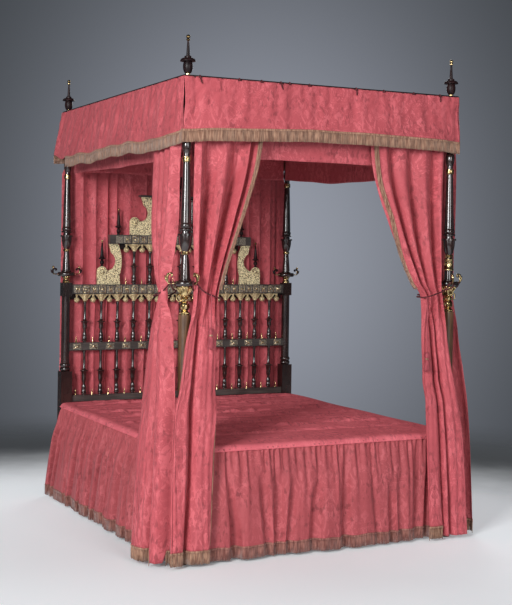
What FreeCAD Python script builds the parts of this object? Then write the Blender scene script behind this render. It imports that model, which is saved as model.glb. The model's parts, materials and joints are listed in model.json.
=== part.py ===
import FreeCAD, Part
import Sketcher
import math
import os
import re

# Four-poster bed with turned posts, a spindle headboard, a tester and its hangings.
# Millimetres, +Z up, origin on the floor under the middle of the bed, head towards +Y.

Vector = FreeCAD.Vector

DIMENSIONS = [
    # The plan and the main levels
    ("post_span_x", 1572, "between post centres, across"),
    ("post_span_y", 1936, "between post centres, along"),
    ("disc_z", 1390, "middle of the disc on each post"),
    ("tester_top_z", 2420, "top of the tester rails"),
    ("seat_gap", 0.3, "between a piece and what it sits against"),
    # Lower posts
    ("block_width", 72, "square block that takes the bed rails"),
    ("block_bottom_z", 230, ""),
    ("foot_block_top_z", 540, ""),
    ("head_block_top_z", 774, ""),
    ("foot_radius", 36, "widest part of the turned foot"),
    ("foot_base_radius", 26, ""),
    ("foot_neck_radius", 23, ""),
    ("leg_radius", 27, "column above the block"),
    ("leg_top_radius", 31, "leg under the foot capital"),
    ("leg_ring_radius", 34, ""),
    ("leg_ring_height", 26, ""),
    ("rail_block_width", 60, "square block at the headboard top rail"),
    ("rail_block_bottom_z", 1250, ""),
    # Gilt capitals under the discs
    ("capital_height", 142, "foot posts"),
    ("capital_radius", 42, ""),
    ("capital_bulb_radius", 25, ""),
    ("capital_neck_radius", 15, ""),
    ("collar_height", 42, "head posts"),
    ("collar_radius", 26, ""),
    # Upper posts
    ("disc_radius", 56, ""),
    ("disc_thickness", 26, ""),
    ("stem_radius", 26, "foot of the stem above the disc"),
    ("stem_neck_radius", 17, ""),
    ("stem_rise", 140, "top of the stem above the middle of the disc"),
    ("cup_gap", 22, "neck of the lower gilt ring"),
    ("cup_height", 74, ""),
    ("cup_radius", 33, ""),
    ("cup_rim_radius", 40, ""),
    ("flange_gap", 26, "flange above the rim of the cup"),
    ("ring_radius", 35, ""),
    ("bead_height", 10, "height of a turned bead"),
    ("shaft_gap", 38, "foot of the shaft above the flange"),
    ("shaft_radius", 27, "foot of the tapered shaft"),
    ("shaft_top_radius", 18.5, ""),
    ("top_neck_radius", 17, "where the upper gilt ring sits"),
    ("knop_gap", 51, "neck of the upper gilt ring"),
    ("knop_height", 72, ""),
    ("knop_radius", 24, ""),
    ("post_top_radius", 20, ""),
    ("gilt_ring_thickness", 5, ""),
    ("gilt_ring_height", 15, "ring under the cup"),
    ("top_ring_height", 28, "ring over the shaft"),
    ("peg_radius", 8, "peg that holds tester and finial"),
    ("peg_rise", 40, "peg above the tester"),
    # Finials on the posts
    ("finial_collar_radius", 13, ""),
    ("finial_collar_height", 12, ""),
    ("finial_cup_radius", 24, ""),
    ("finial_cup_height", 54, ""),
    ("finial_rim_radius", 39, ""),
    ("finial_rim_height", 19, ""),
    ("finial_spire_radius", 9, ""),
    ("finial_spire_top_radius", 5, ""),
    ("finial_spire_height", 87, ""),
    ("finial_tip_radius", 10.5, ""),
    ("finial_tip_height", 31, ""),
    # Hooks on the discs
    ("hook_reach", 30, "from the disc rim to the hook stem"),
    ("hook_rise", 44, ""),
    ("hook_wire_radius", 3.5, ""),
    ("hook_ball_radius", 8, ""),
    # Headboard
    ("headboard_depth", 40, "rails, front to back"),
    ("lower_rail_z", 580, ""),
    ("lower_rail_height", 38, ""),
    ("mid_rail_z", 904, ""),
    ("mid_rail_height", 49, ""),
    ("top_rail_z", 1263, ""),
    ("top_rail_height", 61, ""),
    ("crest_rail_z", 1586, ""),
    ("crest_rail_height", 59, ""),
    ("cap_z", 1893, ""),
    ("cap_height", 14, ""),
    ("cap_overhang", 14, "cap beyond the scroll brackets"),
    ("tenon_length", 6, "rail end let into a round post"),
    ("spindle_row_inset", 16, "post centre to the place after the last spindle"),
    ("spindle_count", 13, ""),
    ("crest_spindle_count", 7, ""),
    ("cap_spindle_count", 3, ""),
    ("cap_spindle_pitch", 75, ""),
    ("spindle_base_radius", 11, ""),
    ("spindle_baluster_radius", 14, ""),
    ("spindle_neck_radius", 6.5, ""),
    ("spindle_cup_radius", 15, ""),
    ("spindle_shaft_radius", 8.5, ""),
    ("spindle_top_radius", 6, ""),
    ("spindle_bead_height", 10, ""),
    ("spindle_baluster_height", 66, ""),
    ("spindle_cup_height", 34, ""),
    ("pendant_radius", 18, "ball between the spindles' capitals"),
    ("pendant_drop", 56, ""),
    ("pendant_stem_radius", 5, ""),
    ("trumpet_height", 44, "gilt capital round the top of a spindle"),
    ("trumpet_radius", 25, ""),
    ("trumpet_neck_radius", 12.5, ""),
    ("trumpet_bore_gap", 0.5, ""),
    ("spike_height", 42, "small spires on the rails"),
    ("spike_radius", 7, ""),
    ("plaque_width", 56, "frets on the middle rail"),
    ("square_plaque_width", 46, "plates on the upper rails"),
    ("plaque_thickness", 3, ""),
    ("plaque_margin", 6, "rail edge left bare above and below"),
    ("crest_plaque_count", 9, ""),
    ("bracket_thickness", 16, ""),
    ("bracket_width", 160, "scroll bracket along the rail"),
    ("bracket_eye_radius", 32, ""),
    ("bracket_eye_hole_radius", 9, ""),
    ("bracket_eye_rise", 84, "eye centre above the rail"),
    ("bracket_band", 36, "width of the scroll band"),
    ("bracket_top_inset", 46, "top of a scroll inside its eye centre"),
    ("bracket_top_width", 60, ""),
    ("lower_bracket_steps", 5, "eye centre from the middle, in spindle pitches"),
    ("upper_bracket_steps", 3, ""),
    ("crest_finial_steps", 4, "finials on the crest rail, in spindle pitches"),
    ("crest_finial_base_radius", 10, ""),
    ("crest_finial_cup_radius", 16, ""),
    ("crest_finial_cup_height", 56, ""),
    ("crest_finial_spire_height", 98, ""),
    ("crest_finial_spire_radius", 5, ""),
    ("crest_finial_spire_top_radius", 3, ""),
    ("crest_finial_tip_radius", 7, ""),
    ("crest_finial_tip_height", 20, ""),
    # Bed frame and mattress
    ("bed_rail_width", 36, ""),
    ("bed_rail_z", 300, ""),
    ("bed_rail_height", 170, ""),
    ("ledger_size", 25, "strip that carries the slats"),
    ("slat_count", 12, ""),
    ("slat_width", 80, ""),
    ("slat_thickness", 18, ""),
    ("mattress_height", 202, ""),
    ("mattress_clearance", 5, "to the post blocks"),
    ("mattress_radius", 30, ""),
    ("bolt_radius", 6, ""),
    ("bolt_head_radius", 12, ""),
    ("bolt_head_height", 8, ""),
    ("bolt_length", 130, ""),
    ("side_bolt_z", 400, ""),
    ("end_bolt_z", 360, ""),
    # Tester and rods
    ("tester_rail_width", 60, ""),
    ("tester_rail_height", 35, ""),
    ("tester_cloth_thickness", 4, ""),
    ("tester_cloth_lap", 12, "cloth edge inside the post centres"),
    ("peg_clearance", 0.3, ""),
    ("rod_radius", 8, ""),
    ("rod_drop", 30, "rod centre below the tester rails"),
    ("rod_socket", 5, "rod end let into the post"),
    ("curtain_ring_play", 2.5, "between ring and rod all round"),
    ("curtain_ring_wire", 2.5, ""),
    ("rings_per_curtain", 8, ""),
    # Hangings
    ("cloth_thickness", 7, ""),
    ("valance_top_drop", 8, "valance top below the tester top"),
    ("valance_depth", 307, "outer valance with its fringe"),
    ("valance_flare", 37, ""),
    ("valance_slit", 12, "opening at the corners"),
    ("valance_fold", 6, ""),
    ("valance_folds", 6, ""),
    ("inner_valance_depth", 400, ""),
    ("head_curtain_z", 430, "lower edge of the head curtain"),
    ("head_curtain_bend_z", 1960, "where it passes behind the crest"),
    ("head_curtain_clearance", 8, "behind the headboard"),
    ("head_curtain_side_gap", 52, "from the post centres, clear of the discs"),
    ("head_curtain_folds", 26, ""),
    ("head_curtain_fold", 12, ""),
    ("curtain_folds", 6, ""),
    ("curtain_end_gap", 41, "curtain edge from the post centre at the top"),
    ("curtain_top_clearance", 5, "curtain inside the faces of the tester rails"),
    ("valance_level_drop", 420, "level below the valances, from the tester top"),
    ("chest_rise", 310, "level above the disc"),
    ("tie_top_rise", 10, "top of the gathers above the disc"),
    ("tie_low_drop", 100, "foot of the gathers below the disc"),
    ("tie_clearance", 8, "gathers from the disc rim"),
    ("sag_drop", 260, "level below the disc"),
    ("fall_rise", 335, "level above the mattress"),
    ("clear_rise", 195, "where the curtains stand clear of the bed"),
    ("bed_rise", 15, "level of the coverlet"),
    ("curtain_hem_z", 25, ""),
    # Coverlet
    ("coverlet_thickness", 27, ""),
    ("coverlet_radius", 16, ""),
    ("coverlet_overhang", 36, "side edge beyond the post centres"),
    ("coverlet_foot_overhang", 30, ""),
    ("coverlet_notch_gap", 8, "cut-out clear of a post block"),
    ("coverlet_head_gap", 28, "head edge short of the headboard centre"),
    ("skirt_thickness", 8, ""),
    ("skirt_standoff", 6, "skirt beyond the side rail"),
    ("skirt_flare", 28, "hem beyond the seam, at the foot end"),
    ("skirt_head_flare", 70, "at the head end"),
    ("skirt_fold", 12, ""),
    ("skirt_folds", 18, ""),
    ("foot_skirt_standoff", 2, ""),
    ("foot_skirt_fold", 6, ""),
    ("foot_skirt_folds", 14, ""),
    ("skirt_end_gap", 4, "skirt end short of the notch"),
    ("skirt_hem_z", 8, ""),
    # Tie-backs and tassels
    ("cord_radius", 4.5, ""),
    ("cord_bend_radius", 12, "where the cord turns round the gathers"),
    ("cord_margin", 8, "cord centre from the gathers"),
    ("tie_end_margin", 12, "cord centre beyond the gathers' edge"),
    ("tie_drop", 72, "far end of the tie-back below the disc"),
    ("tie_near_drop", 39, "near end below the disc"),
    ("tie_hook_drop", 26, "where the cord turns up to its hook"),
    ("tie_under_hook", 8, "that turn, towards the curtain from the post centre"),
    ("tie_hook_width", 20, "cord's flat over the hook"),
    ("tail_radius", 3.5, ""),
    ("tassel_radius", 17, ""),
    ("tassel_head_radius", 12, ""),
    ("tassel_length", 100, ""),
    ("tassel_head_height", 34, ""),
    ("left_tail_length", 165, ""),
    ("right_tail_length", 300, ""),
    ("left_tassel_run", 108, "tail from the post centre"),
    ("right_tassel_run", 190, ""),
]

# Levels where the curtains are drawn, from the rings down to the hem.
CURTAIN_LEVELS = ("rings", "valance", "chest", "tie_top", "tie_low", "sag", "fall", "clear", "bed", "hem")

# A place without a number follows from another size: see curtain_depth and near_run.
CURTAIN_DIMENSIONS = {
    # Foot curtains: out from the post line, or from the post block below the coverlet's top,
    # the same at the leading edge, half depth, fold, and reach from the post centre
    "foot_out": (0, 0, 10, 37, 37, 34, 62, 33, 33, 33),
    "foot_far_out": (0, 0, 10, 37, 37, 28, 28, 33, 33, 33),
    "foot_depth": (None, None, 24, 24, 24, 24, 24, 23, 23, 24),
    "foot_fold": (8, 8, 8, 6, 6, 6, 6, 6, 6, 7),
    "foot_left_reach": (416, 371, 276, 170, 154, 146, 141, 139, 130, 114),
    "foot_left_start": (None, None, 44, None, None, 40, 12, -46, -56, -58),
    "foot_right_reach": (531, 490, 341, 222, 186, 200, 206, 200, 190, 156),
    "foot_right_start": (None, 48, 62, 80, 72, 52, 18, -8, -40, -84),
    # Side curtains, alike on both sides
    "side_out": (0, 34, 38, 44, 49, 59, 79, 48, 53, 73),
    "side_far_out": (0, 14, 14, 14, 19, 49, 84, 63, 88, 143),
    "side_depth": (None, None, 24, 24, 24, 26, 28, 30, 32, 34),
    "side_fold": (8, 8, 8, 6, 6, 8, 8, 8, 8, 10),
    "side_reach": (408, 383, 373, 300, 252, 262, 255, 245, 230, 170),
    "side_start": (None, None, 44, None, None, 36, 6, -8, -12, -16),
}

doc = FreeCAD.newDocument("four_poster_bed")
sheet = doc.addObject("Spreadsheet::Sheet", "Dims")


def fill_sheet():
    """Write every driving dimension to a named cell."""
    rows = list(DIMENSIONS)
    for name, values in CURTAIN_DIMENSIONS.items():
        for level, value in zip(CURTAIN_LEVELS, values):
            if value is not None:
                rows.append((name + "_" + level, value, ""))
    for row, (alias, value, note) in enumerate(rows, start=1):
        sheet.set("A%d" % row, alias)
        sheet.set("B%d" % row, str(value))
        sheet.set("C%d" % row, note)
        sheet.setAlias("B%d" % row, alias)
    doc.recompute()
    return {alias for alias, value, note in rows}


ALIASES = fill_sheet()


def scoped(expression):
    """An expression in plain dimension names, with each name led to its cell."""
    return re.sub(r"[a-z_]\w*", lambda word: "Dims." + word.group() if word.group() in ALIASES
                  else word.group(), str(expression))


def size(expression):
    """The present value of an expression in plain dimension names."""
    value = sheet.evalExpression(scoped(expression))
    return float(getattr(value, "Value", value))


def bind(target, **expressions):
    """Bind properties to the sheet; a double underscore in a name stands for a dot."""
    for name, expression in expressions.items():
        target.setExpression(name.replace("__", "."), scoped(expression))


def place(target, x="0", y="0", z="0"):
    bind(target, Placement__Base__x=x, Placement__Base__y=y, Placement__Base__z=z)


def new_body(label):
    body = doc.addObject("PartDesign::Body", label)
    body.Label = label
    return body


def origin_part(body, role):
    return next(part for part in body.Origin.OriginFeatures if part.Role == role)


def add_sketch(body, plane, points):
    """A closed outline through points of two expressions; a third entry marks an arc's middle."""
    sketch = body.newObject("Sketcher::SketchObject", "outline")
    sketch.AttachmentSupport = (origin_part(body, plane), [""])
    sketch.MapMode = "FlatFace"
    spots = [Vector(size(point[0]), size(point[1]), 0) for point in points]
    corners = [index for index, point in enumerate(points) if len(point) == 2]
    edges = []
    for place_in_list, index in enumerate(corners):
        following = corners[(place_in_list + 1) % len(corners)]
        bent = (index + 1) % len(points) != following
        edges.append((index, (index + 1) % len(points) if bent else None, following))
    constraints = []
    bound = []
    ends = {}
    for start, middle, end in edges:
        forward = True
        if middle is None:
            number = sketch.addGeometry(Part.LineSegment(spots[start], spots[end]))
        else:
            forward = (spots[middle] - spots[start]).cross(spots[end] - spots[middle]).z > 0
            first, last = (start, end) if forward else (end, start)
            number = sketch.addGeometry(Part.Arc(spots[first], spots[middle], spots[last]))
            point = sketch.addGeometry(Part.Point(spots[middle]), True)
            constraints.append(Sketcher.Constraint("PointOnObject", point, 1, number))
            bound.append((point, 1, middle))
        ends[start, "out"] = (number, 1 if forward else 2)
        ends[end, "in"] = (number, 2 if forward else 1)
    for index in corners:
        constraints.append(Sketcher.Constraint("Coincident", *ends[index, "in"], *ends[index, "out"]))
        bound.append((*ends[index, "out"], index))
    expressions = []
    for geometry, end, index in bound:
        for kind, expression, value in (("DistanceX", points[index][0], spots[index].x),
                                        ("DistanceY", points[index][1], spots[index].y)):
            expressions.append((len(constraints), expression))
            constraints.append(Sketcher.Constraint(kind, -1, 1, geometry, end, value))
    sketch.addConstraint(constraints)
    for number, expression in expressions:
        sketch.setExpression("Constraints[%d]" % number, scoped(expression))
    return sketch


def turn(body, profile):
    """Turn a profile of radius and height about the body's upright axis."""
    sketch = add_sketch(body, "XZ_Plane", profile)
    turned = body.newObject("PartDesign::Revolution", "turned")
    turned.Profile = sketch
    turned.ReferenceAxis = (sketch, ["V_Axis"])
    turned.Angle = 360
    return turned


def square(half):
    """Corner expressions of a square about the origin."""
    return [("-" + half, "-" + half), (half, "-" + half), (half, half), ("-" + half, half)]


def add_pad(body, plane, points, length, offset="0", midplane=False):
    sketch = add_sketch(body, plane, points)
    bind(sketch, AttachmentOffset__Base__z=offset)
    pad = body.newObject("PartDesign::Pad", "pad")
    pad.Profile = sketch
    pad.Midplane = midplane
    bind(pad, Length=length)
    return pad


def repeat(body, feature, pitch, count):
    """Repeat a body's feature along X and keep the row centred on the body's origin."""
    pattern = body.newObject("PartDesign::LinearPattern", "row")
    pattern.Originals = [feature]
    pattern.Direction = (origin_part(body, "X_Axis"), [""])
    bind(pattern, Length="%s * (%s - 1)" % (pitch, count), Occurrences=count)
    body.Tip = pattern
    return "-%s * (%s - 1) / 2" % (pitch, count)


def box(label, x, y, z):
    """A box from its low and high expressions along each axis."""
    block = doc.addObject("Part::Box", label)
    block.Label = label
    bind(block, Length="%s - (%s)" % (x[1], x[0]), Width="%s - (%s)" % (y[1], y[0]),
         Height="%s - (%s)" % (z[1], z[0]))
    place(block, x[0], y[0], z[0])
    return block


def group(label, members):
    compound = doc.addObject("Part::Compound", label)
    compound.Label = label
    compound.Links = members
    return compound


def solid_feature(label, shape):
    feature = doc.addObject("Part::Feature", label)
    feature.Label = label
    feature.Shape = shape
    return feature


# The four posts: name, side of the bed along X, and end of the bed along Y
POSTS = [("foot_left", -1, -1), ("foot_right", 1, -1), ("head_left", -1, 1), ("head_right", 1, 1)]
HALF_X = "post_span_x / 2"
HALF_Y = "post_span_y / 2"
DISC_BOTTOM = "disc_z - disc_thickness / 2"
DISC_TOP = "disc_z + disc_thickness / 2"
TESTER_BOTTOM = "tester_top_z - tester_rail_height"
STEM_TOP = "(disc_z + stem_rise)"
CUP_BOTTOM = "(%s + cup_gap)" % STEM_TOP
CUP_RIM = "(%s + cup_height)" % CUP_BOTTOM
FLANGE = "(%s + flange_gap)" % CUP_RIM
SHAFT_BOTTOM = "(%s + shaft_gap)" % FLANGE
SHAFT_TOP = "(%s + (%s - %s) * 0.4245)" % (SHAFT_BOTTOM, TESTER_BOTTOM, SHAFT_BOTTOM)
KNOP = "(%s + knop_gap)" % SHAFT_TOP
SPINDLE_PITCH = "((post_span_x - 2 * spindle_row_inset) / (spindle_count + 1))"
LOWER_BRACKET_X = "(lower_bracket_steps * %s)" % SPINDLE_PITCH
UPPER_BRACKET_X = "(upper_bracket_steps * %s)" % SPINDLE_PITCH
CREST_FINIAL_X = "(crest_finial_steps * %s)" % SPINDLE_PITCH


def post_place(target, side, end, z="0"):
    place(target, "%d * %s" % (side, HALF_X), "%d * %s" % (end, HALF_Y), z)


def lower_post(name, side, end):
    """Turned leg with a square block for the bed rails; head legs have one for the top rail too."""
    body = new_body("post_lower_" + name)
    at_foot = end < 0
    top = DISC_BOTTOM + (" - capital_height" if at_foot else " - collar_height")
    block_top = "foot_block_top_z" if at_foot else "head_block_top_z"
    top_radius = "leg_top_radius" if at_foot else "leg_radius"
    turn(body, [
        ("0", "0"),
        ("foot_base_radius", "0"),
        ("foot_radius", "block_bottom_z * 0.45", "arc"),
        ("foot_neck_radius", "block_bottom_z - leg_ring_height / 2"),
        ("leg_radius", "block_bottom_z"),
        ("leg_radius", block_top),
        ("leg_ring_radius", block_top + " + leg_ring_height / 2", "arc"),
        ("leg_radius", block_top + " + leg_ring_height"),
        ("leg_ring_radius", block_top + " + leg_ring_height * 1.5", "arc"),
        ("leg_radius", block_top + " + leg_ring_height * 2"),
        (top_radius, top),
        ("0", top),
    ])
    add_pad(body, "XY_Plane", square("block_width / 2"), block_top + " - block_bottom_z", "block_bottom_z")
    if not at_foot:
        add_pad(body, "XY_Plane", square("rail_block_width / 2"), top + " - rail_block_bottom_z",
                "rail_block_bottom_z")
    post_place(body, side, end)
    return body


def capital(name, side, end):
    """Gilt cup between leg and disc, tall on the foot posts and a plain collar on the head posts."""
    body = new_body("capital_" + name)
    if end < 0:
        low = DISC_BOTTOM + " - capital_height"
        turn(body, [
            ("0", low),
            ("capital_bulb_radius - 2", low),
            ("capital_bulb_radius - 2", low + " + capital_height * 0.1"),
            ("capital_neck_radius", low + " + capital_height * 0.14"),
            ("capital_bulb_radius", low + " + capital_height * 0.28", "arc"),
            ("capital_neck_radius", low + " + capital_height * 0.44"),
            ("capital_bulb_radius - 3", low + " + capital_height * 0.52", "arc"),
            ("capital_neck_radius", low + " + capital_height * 0.6"),
            ("capital_bulb_radius", low + " + capital_height * 0.68"),
            ("capital_radius * 0.72", low + " + capital_height * 0.84", "arc"),
            ("capital_radius", low + " + capital_height * 0.96"),
            ("capital_radius", DISC_BOTTOM),
            ("0", DISC_BOTTOM),
        ])
    else:
        low = DISC_BOTTOM + " - collar_height"
        turn(body, [
            ("0", low),
            ("collar_radius - 2", low),
            ("collar_radius - 2", low + " + collar_height * 0.25"),
            ("collar_radius - 7", low + " + collar_height * 0.5", "arc"),
            ("collar_radius", low + " + collar_height * 0.8"),
            ("collar_radius", DISC_BOTTOM),
            ("0", DISC_BOTTOM),
        ])
    post_place(body, side, end)
    return body


def upper_post(name, side, end):
    """Disc, stem, cup, tapered shaft and the peg that holds the tester and the finial."""
    body = new_body("post_upper_" + name)
    turn(body, [
        ("0", DISC_BOTTOM),
        ("disc_radius - 6", DISC_BOTTOM),
        ("disc_radius", "disc_z", "arc"),
        ("disc_radius - 6", DISC_TOP),
        ("stem_radius + 4", DISC_TOP),
        ("stem_radius + 6", DISC_TOP + " + bead_height / 2", "arc"),
        ("stem_radius + 2", DISC_TOP + " + bead_height"),
        ("stem_radius", DISC_TOP + " + bead_height"),
        ("stem_radius - 3", "disc_z + stem_rise / 2", "arc"),
        ("stem_neck_radius", STEM_TOP),
        ("stem_neck_radius", CUP_BOTTOM),
        ("stem_neck_radius + 3", CUP_BOTTOM),
        ("cup_radius - 4", CUP_BOTTOM + " + cup_height * 0.4", "arc"),
        ("cup_radius", CUP_RIM),
        ("cup_rim_radius", CUP_RIM),
        ("cup_rim_radius", CUP_RIM + " + bead_height"),
        ("stem_radius - 2", CUP_RIM + " + bead_height + 2"),
        ("stem_radius - 4", FLANGE),
        ("ring_radius - 3", FLANGE),
        ("ring_radius", FLANGE + " + bead_height / 2", "arc"),
        ("ring_radius - 3", FLANGE + " + bead_height"),
        ("shaft_radius - 2", FLANGE + " + bead_height"),
        ("shaft_radius + 3", FLANGE + " + (bead_height + shaft_gap) / 2", "arc"),
        ("shaft_radius - 2", SHAFT_BOTTOM),
        ("shaft_radius", SHAFT_BOTTOM),
        ("shaft_top_radius", SHAFT_TOP),
        ("top_neck_radius", SHAFT_TOP),
        ("top_neck_radius", KNOP),
        ("knop_radius", KNOP + " + knop_height * 0.4", "arc"),
        ("post_top_radius - 2", KNOP + " + knop_height"),
        ("post_top_radius", KNOP + " + knop_height"),
        ("post_top_radius", TESTER_BOTTOM),
        ("peg_radius", TESTER_BOTTOM),
        ("peg_radius", "tester_top_z + peg_rise"),
        ("0", "tester_top_z + peg_rise"),
    ])
    post_place(body, side, end)
    return body


def ring_profile(inner, outer, low, height):
    """Profile of a band with bevelled edges."""
    return [
        (inner, low),
        (outer + " - 1", low),
        (outer, "%s + %s / 4" % (low, height)),
        (outer, "%s + %s * 3 / 4" % (low, height)),
        (outer + " - 1", "%s + %s" % (low, height)),
        (inner, "%s + %s" % (low, height)),
    ]


def post_rings(name, side, end):
    """Two gilt bands: under the cup and at the top of the shaft."""
    bands = []
    under_cup = STEM_TOP + " + (cup_gap - gilt_ring_height) / 2"
    over_shaft = SHAFT_TOP + " + (knop_gap - top_ring_height) / 4"
    for level, radius, low, height in (("lower", "stem_neck_radius", under_cup, "gilt_ring_height"),
                                       ("upper", "top_neck_radius", over_shaft, "top_ring_height")):
        body = new_body("gilt_ring_%s_%s" % (level, name))
        inner = radius + " + seat_gap"
        turn(body, ring_profile(inner, inner + " + gilt_ring_thickness", "(%s)" % low, height))
        post_place(body, side, end)
        bands.append(body)
    return bands


FINIAL_SEAT = "tester_top_z + seat_gap"
FINIAL_CUP = "finial_collar_height"
FINIAL_RIM = FINIAL_CUP + " + finial_cup_height"
FINIAL_SPIRE = FINIAL_RIM + " + finial_rim_height"
FINIAL_TIP = FINIAL_SPIRE + " + finial_spire_height"


def finial(name, side, end):
    """Turned cup with a flared rim and a spire, bored for the post's peg."""
    body = new_body("finial_" + name)
    bore = "peg_radius + peg_clearance"
    turn(body, [
        (bore, FINIAL_CUP),
        ("finial_cup_radius - 7", FINIAL_CUP),
        ("finial_cup_radius", FINIAL_CUP + " + finial_cup_height * 0.4", "arc"),
        ("finial_cup_radius - 3", FINIAL_RIM),
        ("finial_rim_radius", FINIAL_RIM + " + finial_rim_height * 0.15"),
        ("finial_rim_radius - 6", FINIAL_RIM + " + finial_rim_height * 0.8", "arc"),
        ("finial_spire_radius * 2", FINIAL_SPIRE),
        ("finial_spire_radius * 2", FINIAL_SPIRE + " + finial_spire_radius"),
        ("finial_spire_radius", FINIAL_SPIRE + " + finial_spire_radius * 1.5"),
        ("finial_spire_top_radius", FINIAL_TIP),
        ("0", FINIAL_TIP),
        ("0", "peg_rise + peg_clearance"),
        (bore, "peg_rise + peg_clearance"),
    ])
    post_place(body, side, end, FINIAL_SEAT)
    return body


def finial_brass(name, side, end):
    """Gilt collar under the finial and the gilt ball on its spire."""
    collar = new_body("finial_collar_" + name)
    turn(collar, ring_profile("peg_radius + peg_clearance", "finial_collar_radius", "0",
                              "finial_collar_height"))
    tip = new_body("finial_tip_" + name)
    turn(tip, [
        ("0", FINIAL_TIP),
        ("finial_spire_top_radius + 2", FINIAL_TIP),
        ("finial_tip_radius - 1", FINIAL_TIP + " + finial_tip_height * 0.16", "arc"),
        ("finial_spire_top_radius - 1", FINIAL_TIP + " + finial_tip_height * 0.35"),
        ("finial_tip_radius", FINIAL_TIP + " + finial_tip_height * 0.65", "arc"),
        ("finial_spire_top_radius - 3", FINIAL_TIP + " + finial_tip_height * 0.95"),
        ("0", FINIAL_TIP + " + finial_tip_height"),
    ])
    for part in (collar, tip):
        post_place(part, side, end, FINIAL_SEAT)
    return group("finial_brass_" + name, [collar, tip])


def post_axis(side, end):
    return Vector(side * size(HALF_X), end * size(HALF_Y), 0)


def hook_angles(side, end):
    """Directions of a post's two hooks: one for each curtain at the foot, both sides at the head."""
    angles = (171, -70) if end < 0 else (180, 0)
    return [angle if side < 0 else 180 - angle for angle in angles]


def hook(side, end, angle):
    """Wire hook out of the disc's rim, turned up and ended in a ball."""
    wire_radius = size("hook_wire_radius")
    reach = size("hook_reach")
    bend = wire_radius * 2
    start = size("disc_radius + seat_gap")
    out = start + reach
    level = size("disc_z")
    top = level + size("hook_rise")
    corner = bend * (1 - math.sqrt(0.5))
    path = Part.Wire([
        Part.LineSegment(Vector(start, 0, level), Vector(out - bend, 0, level)).toShape(),
        Part.Arc(Vector(out - bend, 0, level), Vector(out - corner, 0, level + corner),
                 Vector(out, 0, level + bend)).toShape(),
        Part.LineSegment(Vector(out, 0, level + bend), Vector(out, 0, top)).toShape(),
    ])
    section = Part.Wire([Part.makeCircle(wire_radius, Vector(start, 0, level), Vector(1, 0, 0))])
    wire = path.makePipeShell([section], True, False)
    ball = Part.makeSphere(size("hook_ball_radius"), Vector(out, 0, top))
    shape = wire.fuse(ball).removeSplitter()
    shape.rotate(Vector(0, 0, 0), Vector(0, 0, 1), angle)
    shape.translate(post_axis(side, end))
    return shape


def make_posts():
    nodes = []
    capitals = []
    rings = []
    hooks = []
    for name, side, end in POSTS:
        nodes += [lower_post(name, side, end), upper_post(name, side, end)]
        nodes += [finial(name, side, end), finial_brass(name, side, end)]
        capitals.append(capital(name, side, end))
        rings += post_rings(name, side, end)
        hooks += [hook(side, end, angle) for angle in hook_angles(side, end)]
    nodes += [group("post_capitals", capitals), group("post_rings", rings)]
    nodes.append(solid_feature("curtain_hooks", Part.makeCompound(hooks)))
    return nodes


BOARD_FRONT = HALF_Y + " - headboard_depth / 2"
BOARD_BACK = HALF_Y + " + headboard_depth / 2"


def rail(label, half_length, low, height, front=BOARD_FRONT, back=BOARD_BACK):
    return box(label, ("-(%s)" % half_length, half_length), (front, back), (low, "%s + %s" % (low, height)))


def spindle_row(label, low, high, pitch, count):
    """A row of turned spindles between two rails."""
    body = new_body(label)
    baluster = "spindle_bead_height + spindle_baluster_height"
    cup = baluster + " + spindle_cup_height"
    height = "(%s - (%s))" % (high, low)
    feature = turn(body, [
        ("0", "0"),
        ("spindle_base_radius", "0"),
        ("spindle_base_radius", "spindle_bead_height"),
        ("spindle_neck_radius", "spindle_bead_height"),
        ("spindle_baluster_radius", "spindle_bead_height + spindle_baluster_height * 0.4", "arc"),
        ("spindle_neck_radius", baluster),
        ("spindle_cup_radius - 3", baluster + " + spindle_cup_height * 0.35", "arc"),
        ("spindle_cup_radius", cup),
        ("spindle_shaft_radius", cup),
        ("spindle_top_radius", height + " - spindle_bead_height * 2"),
        ("spindle_base_radius - 1", height + " - spindle_bead_height", "arc"),
        ("spindle_top_radius", height),
        ("0", height),
    ])
    start = repeat(body, feature, pitch, count)
    place(body, start, HALF_Y, low)
    return body


def small_row(label, profile, low, pitch, count):
    """A row of small turned pieces on or under a rail."""
    body = new_body(label)
    start = repeat(body, turn(body, profile), pitch, count)
    place(body, start, HALF_Y, low)
    return body


PENDANT = [
    ("0", "-pendant_drop"),
    ("pendant_stem_radius - 2", "-pendant_drop"),
    ("pendant_radius * 0.74", "-pendant_drop + pendant_radius * 0.3"),
    ("pendant_radius", "-pendant_drop + pendant_radius * 0.75"),
    ("pendant_radius", "-pendant_drop + pendant_radius * 1.25"),
    ("pendant_radius * 0.74", "-pendant_drop + pendant_radius * 1.7"),
    ("pendant_stem_radius", "-pendant_drop + pendant_radius * 2"),
    ("pendant_stem_radius + 4", "-pendant_stem_radius"),
    ("pendant_stem_radius + 4", "0"),
    ("0", "0"),
]

# Capital round a spindle's top: bored for the spindle, and as wide as a trumpet's bell under the rail
TRUMPET_BORE = "spindle_base_radius - 1 + trumpet_bore_gap"
TRUMPET = [
    (TRUMPET_BORE, "-trumpet_height"),
    ("trumpet_neck_radius", "-trumpet_height"),
    ("trumpet_neck_radius", "-trumpet_height * 0.8"),
    ("trumpet_neck_radius + 2", "-trumpet_height * 0.5"),
    ("trumpet_radius * 0.72", "-trumpet_height * 0.25"),
    ("trumpet_radius", "-trumpet_height * 0.1"),
    ("trumpet_radius", "0"),
    (TRUMPET_BORE, "0"),
]

SPIKE = [
    ("0", "0"),
    ("spike_radius", "0"),
    ("spike_radius * 0.55", "spike_height * 0.3"),
    ("spike_radius * 0.8", "spike_height * 0.42", "arc"),
    ("spike_radius * 0.4", "spike_height * 0.55"),
    ("0", "spike_height"),
]


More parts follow.
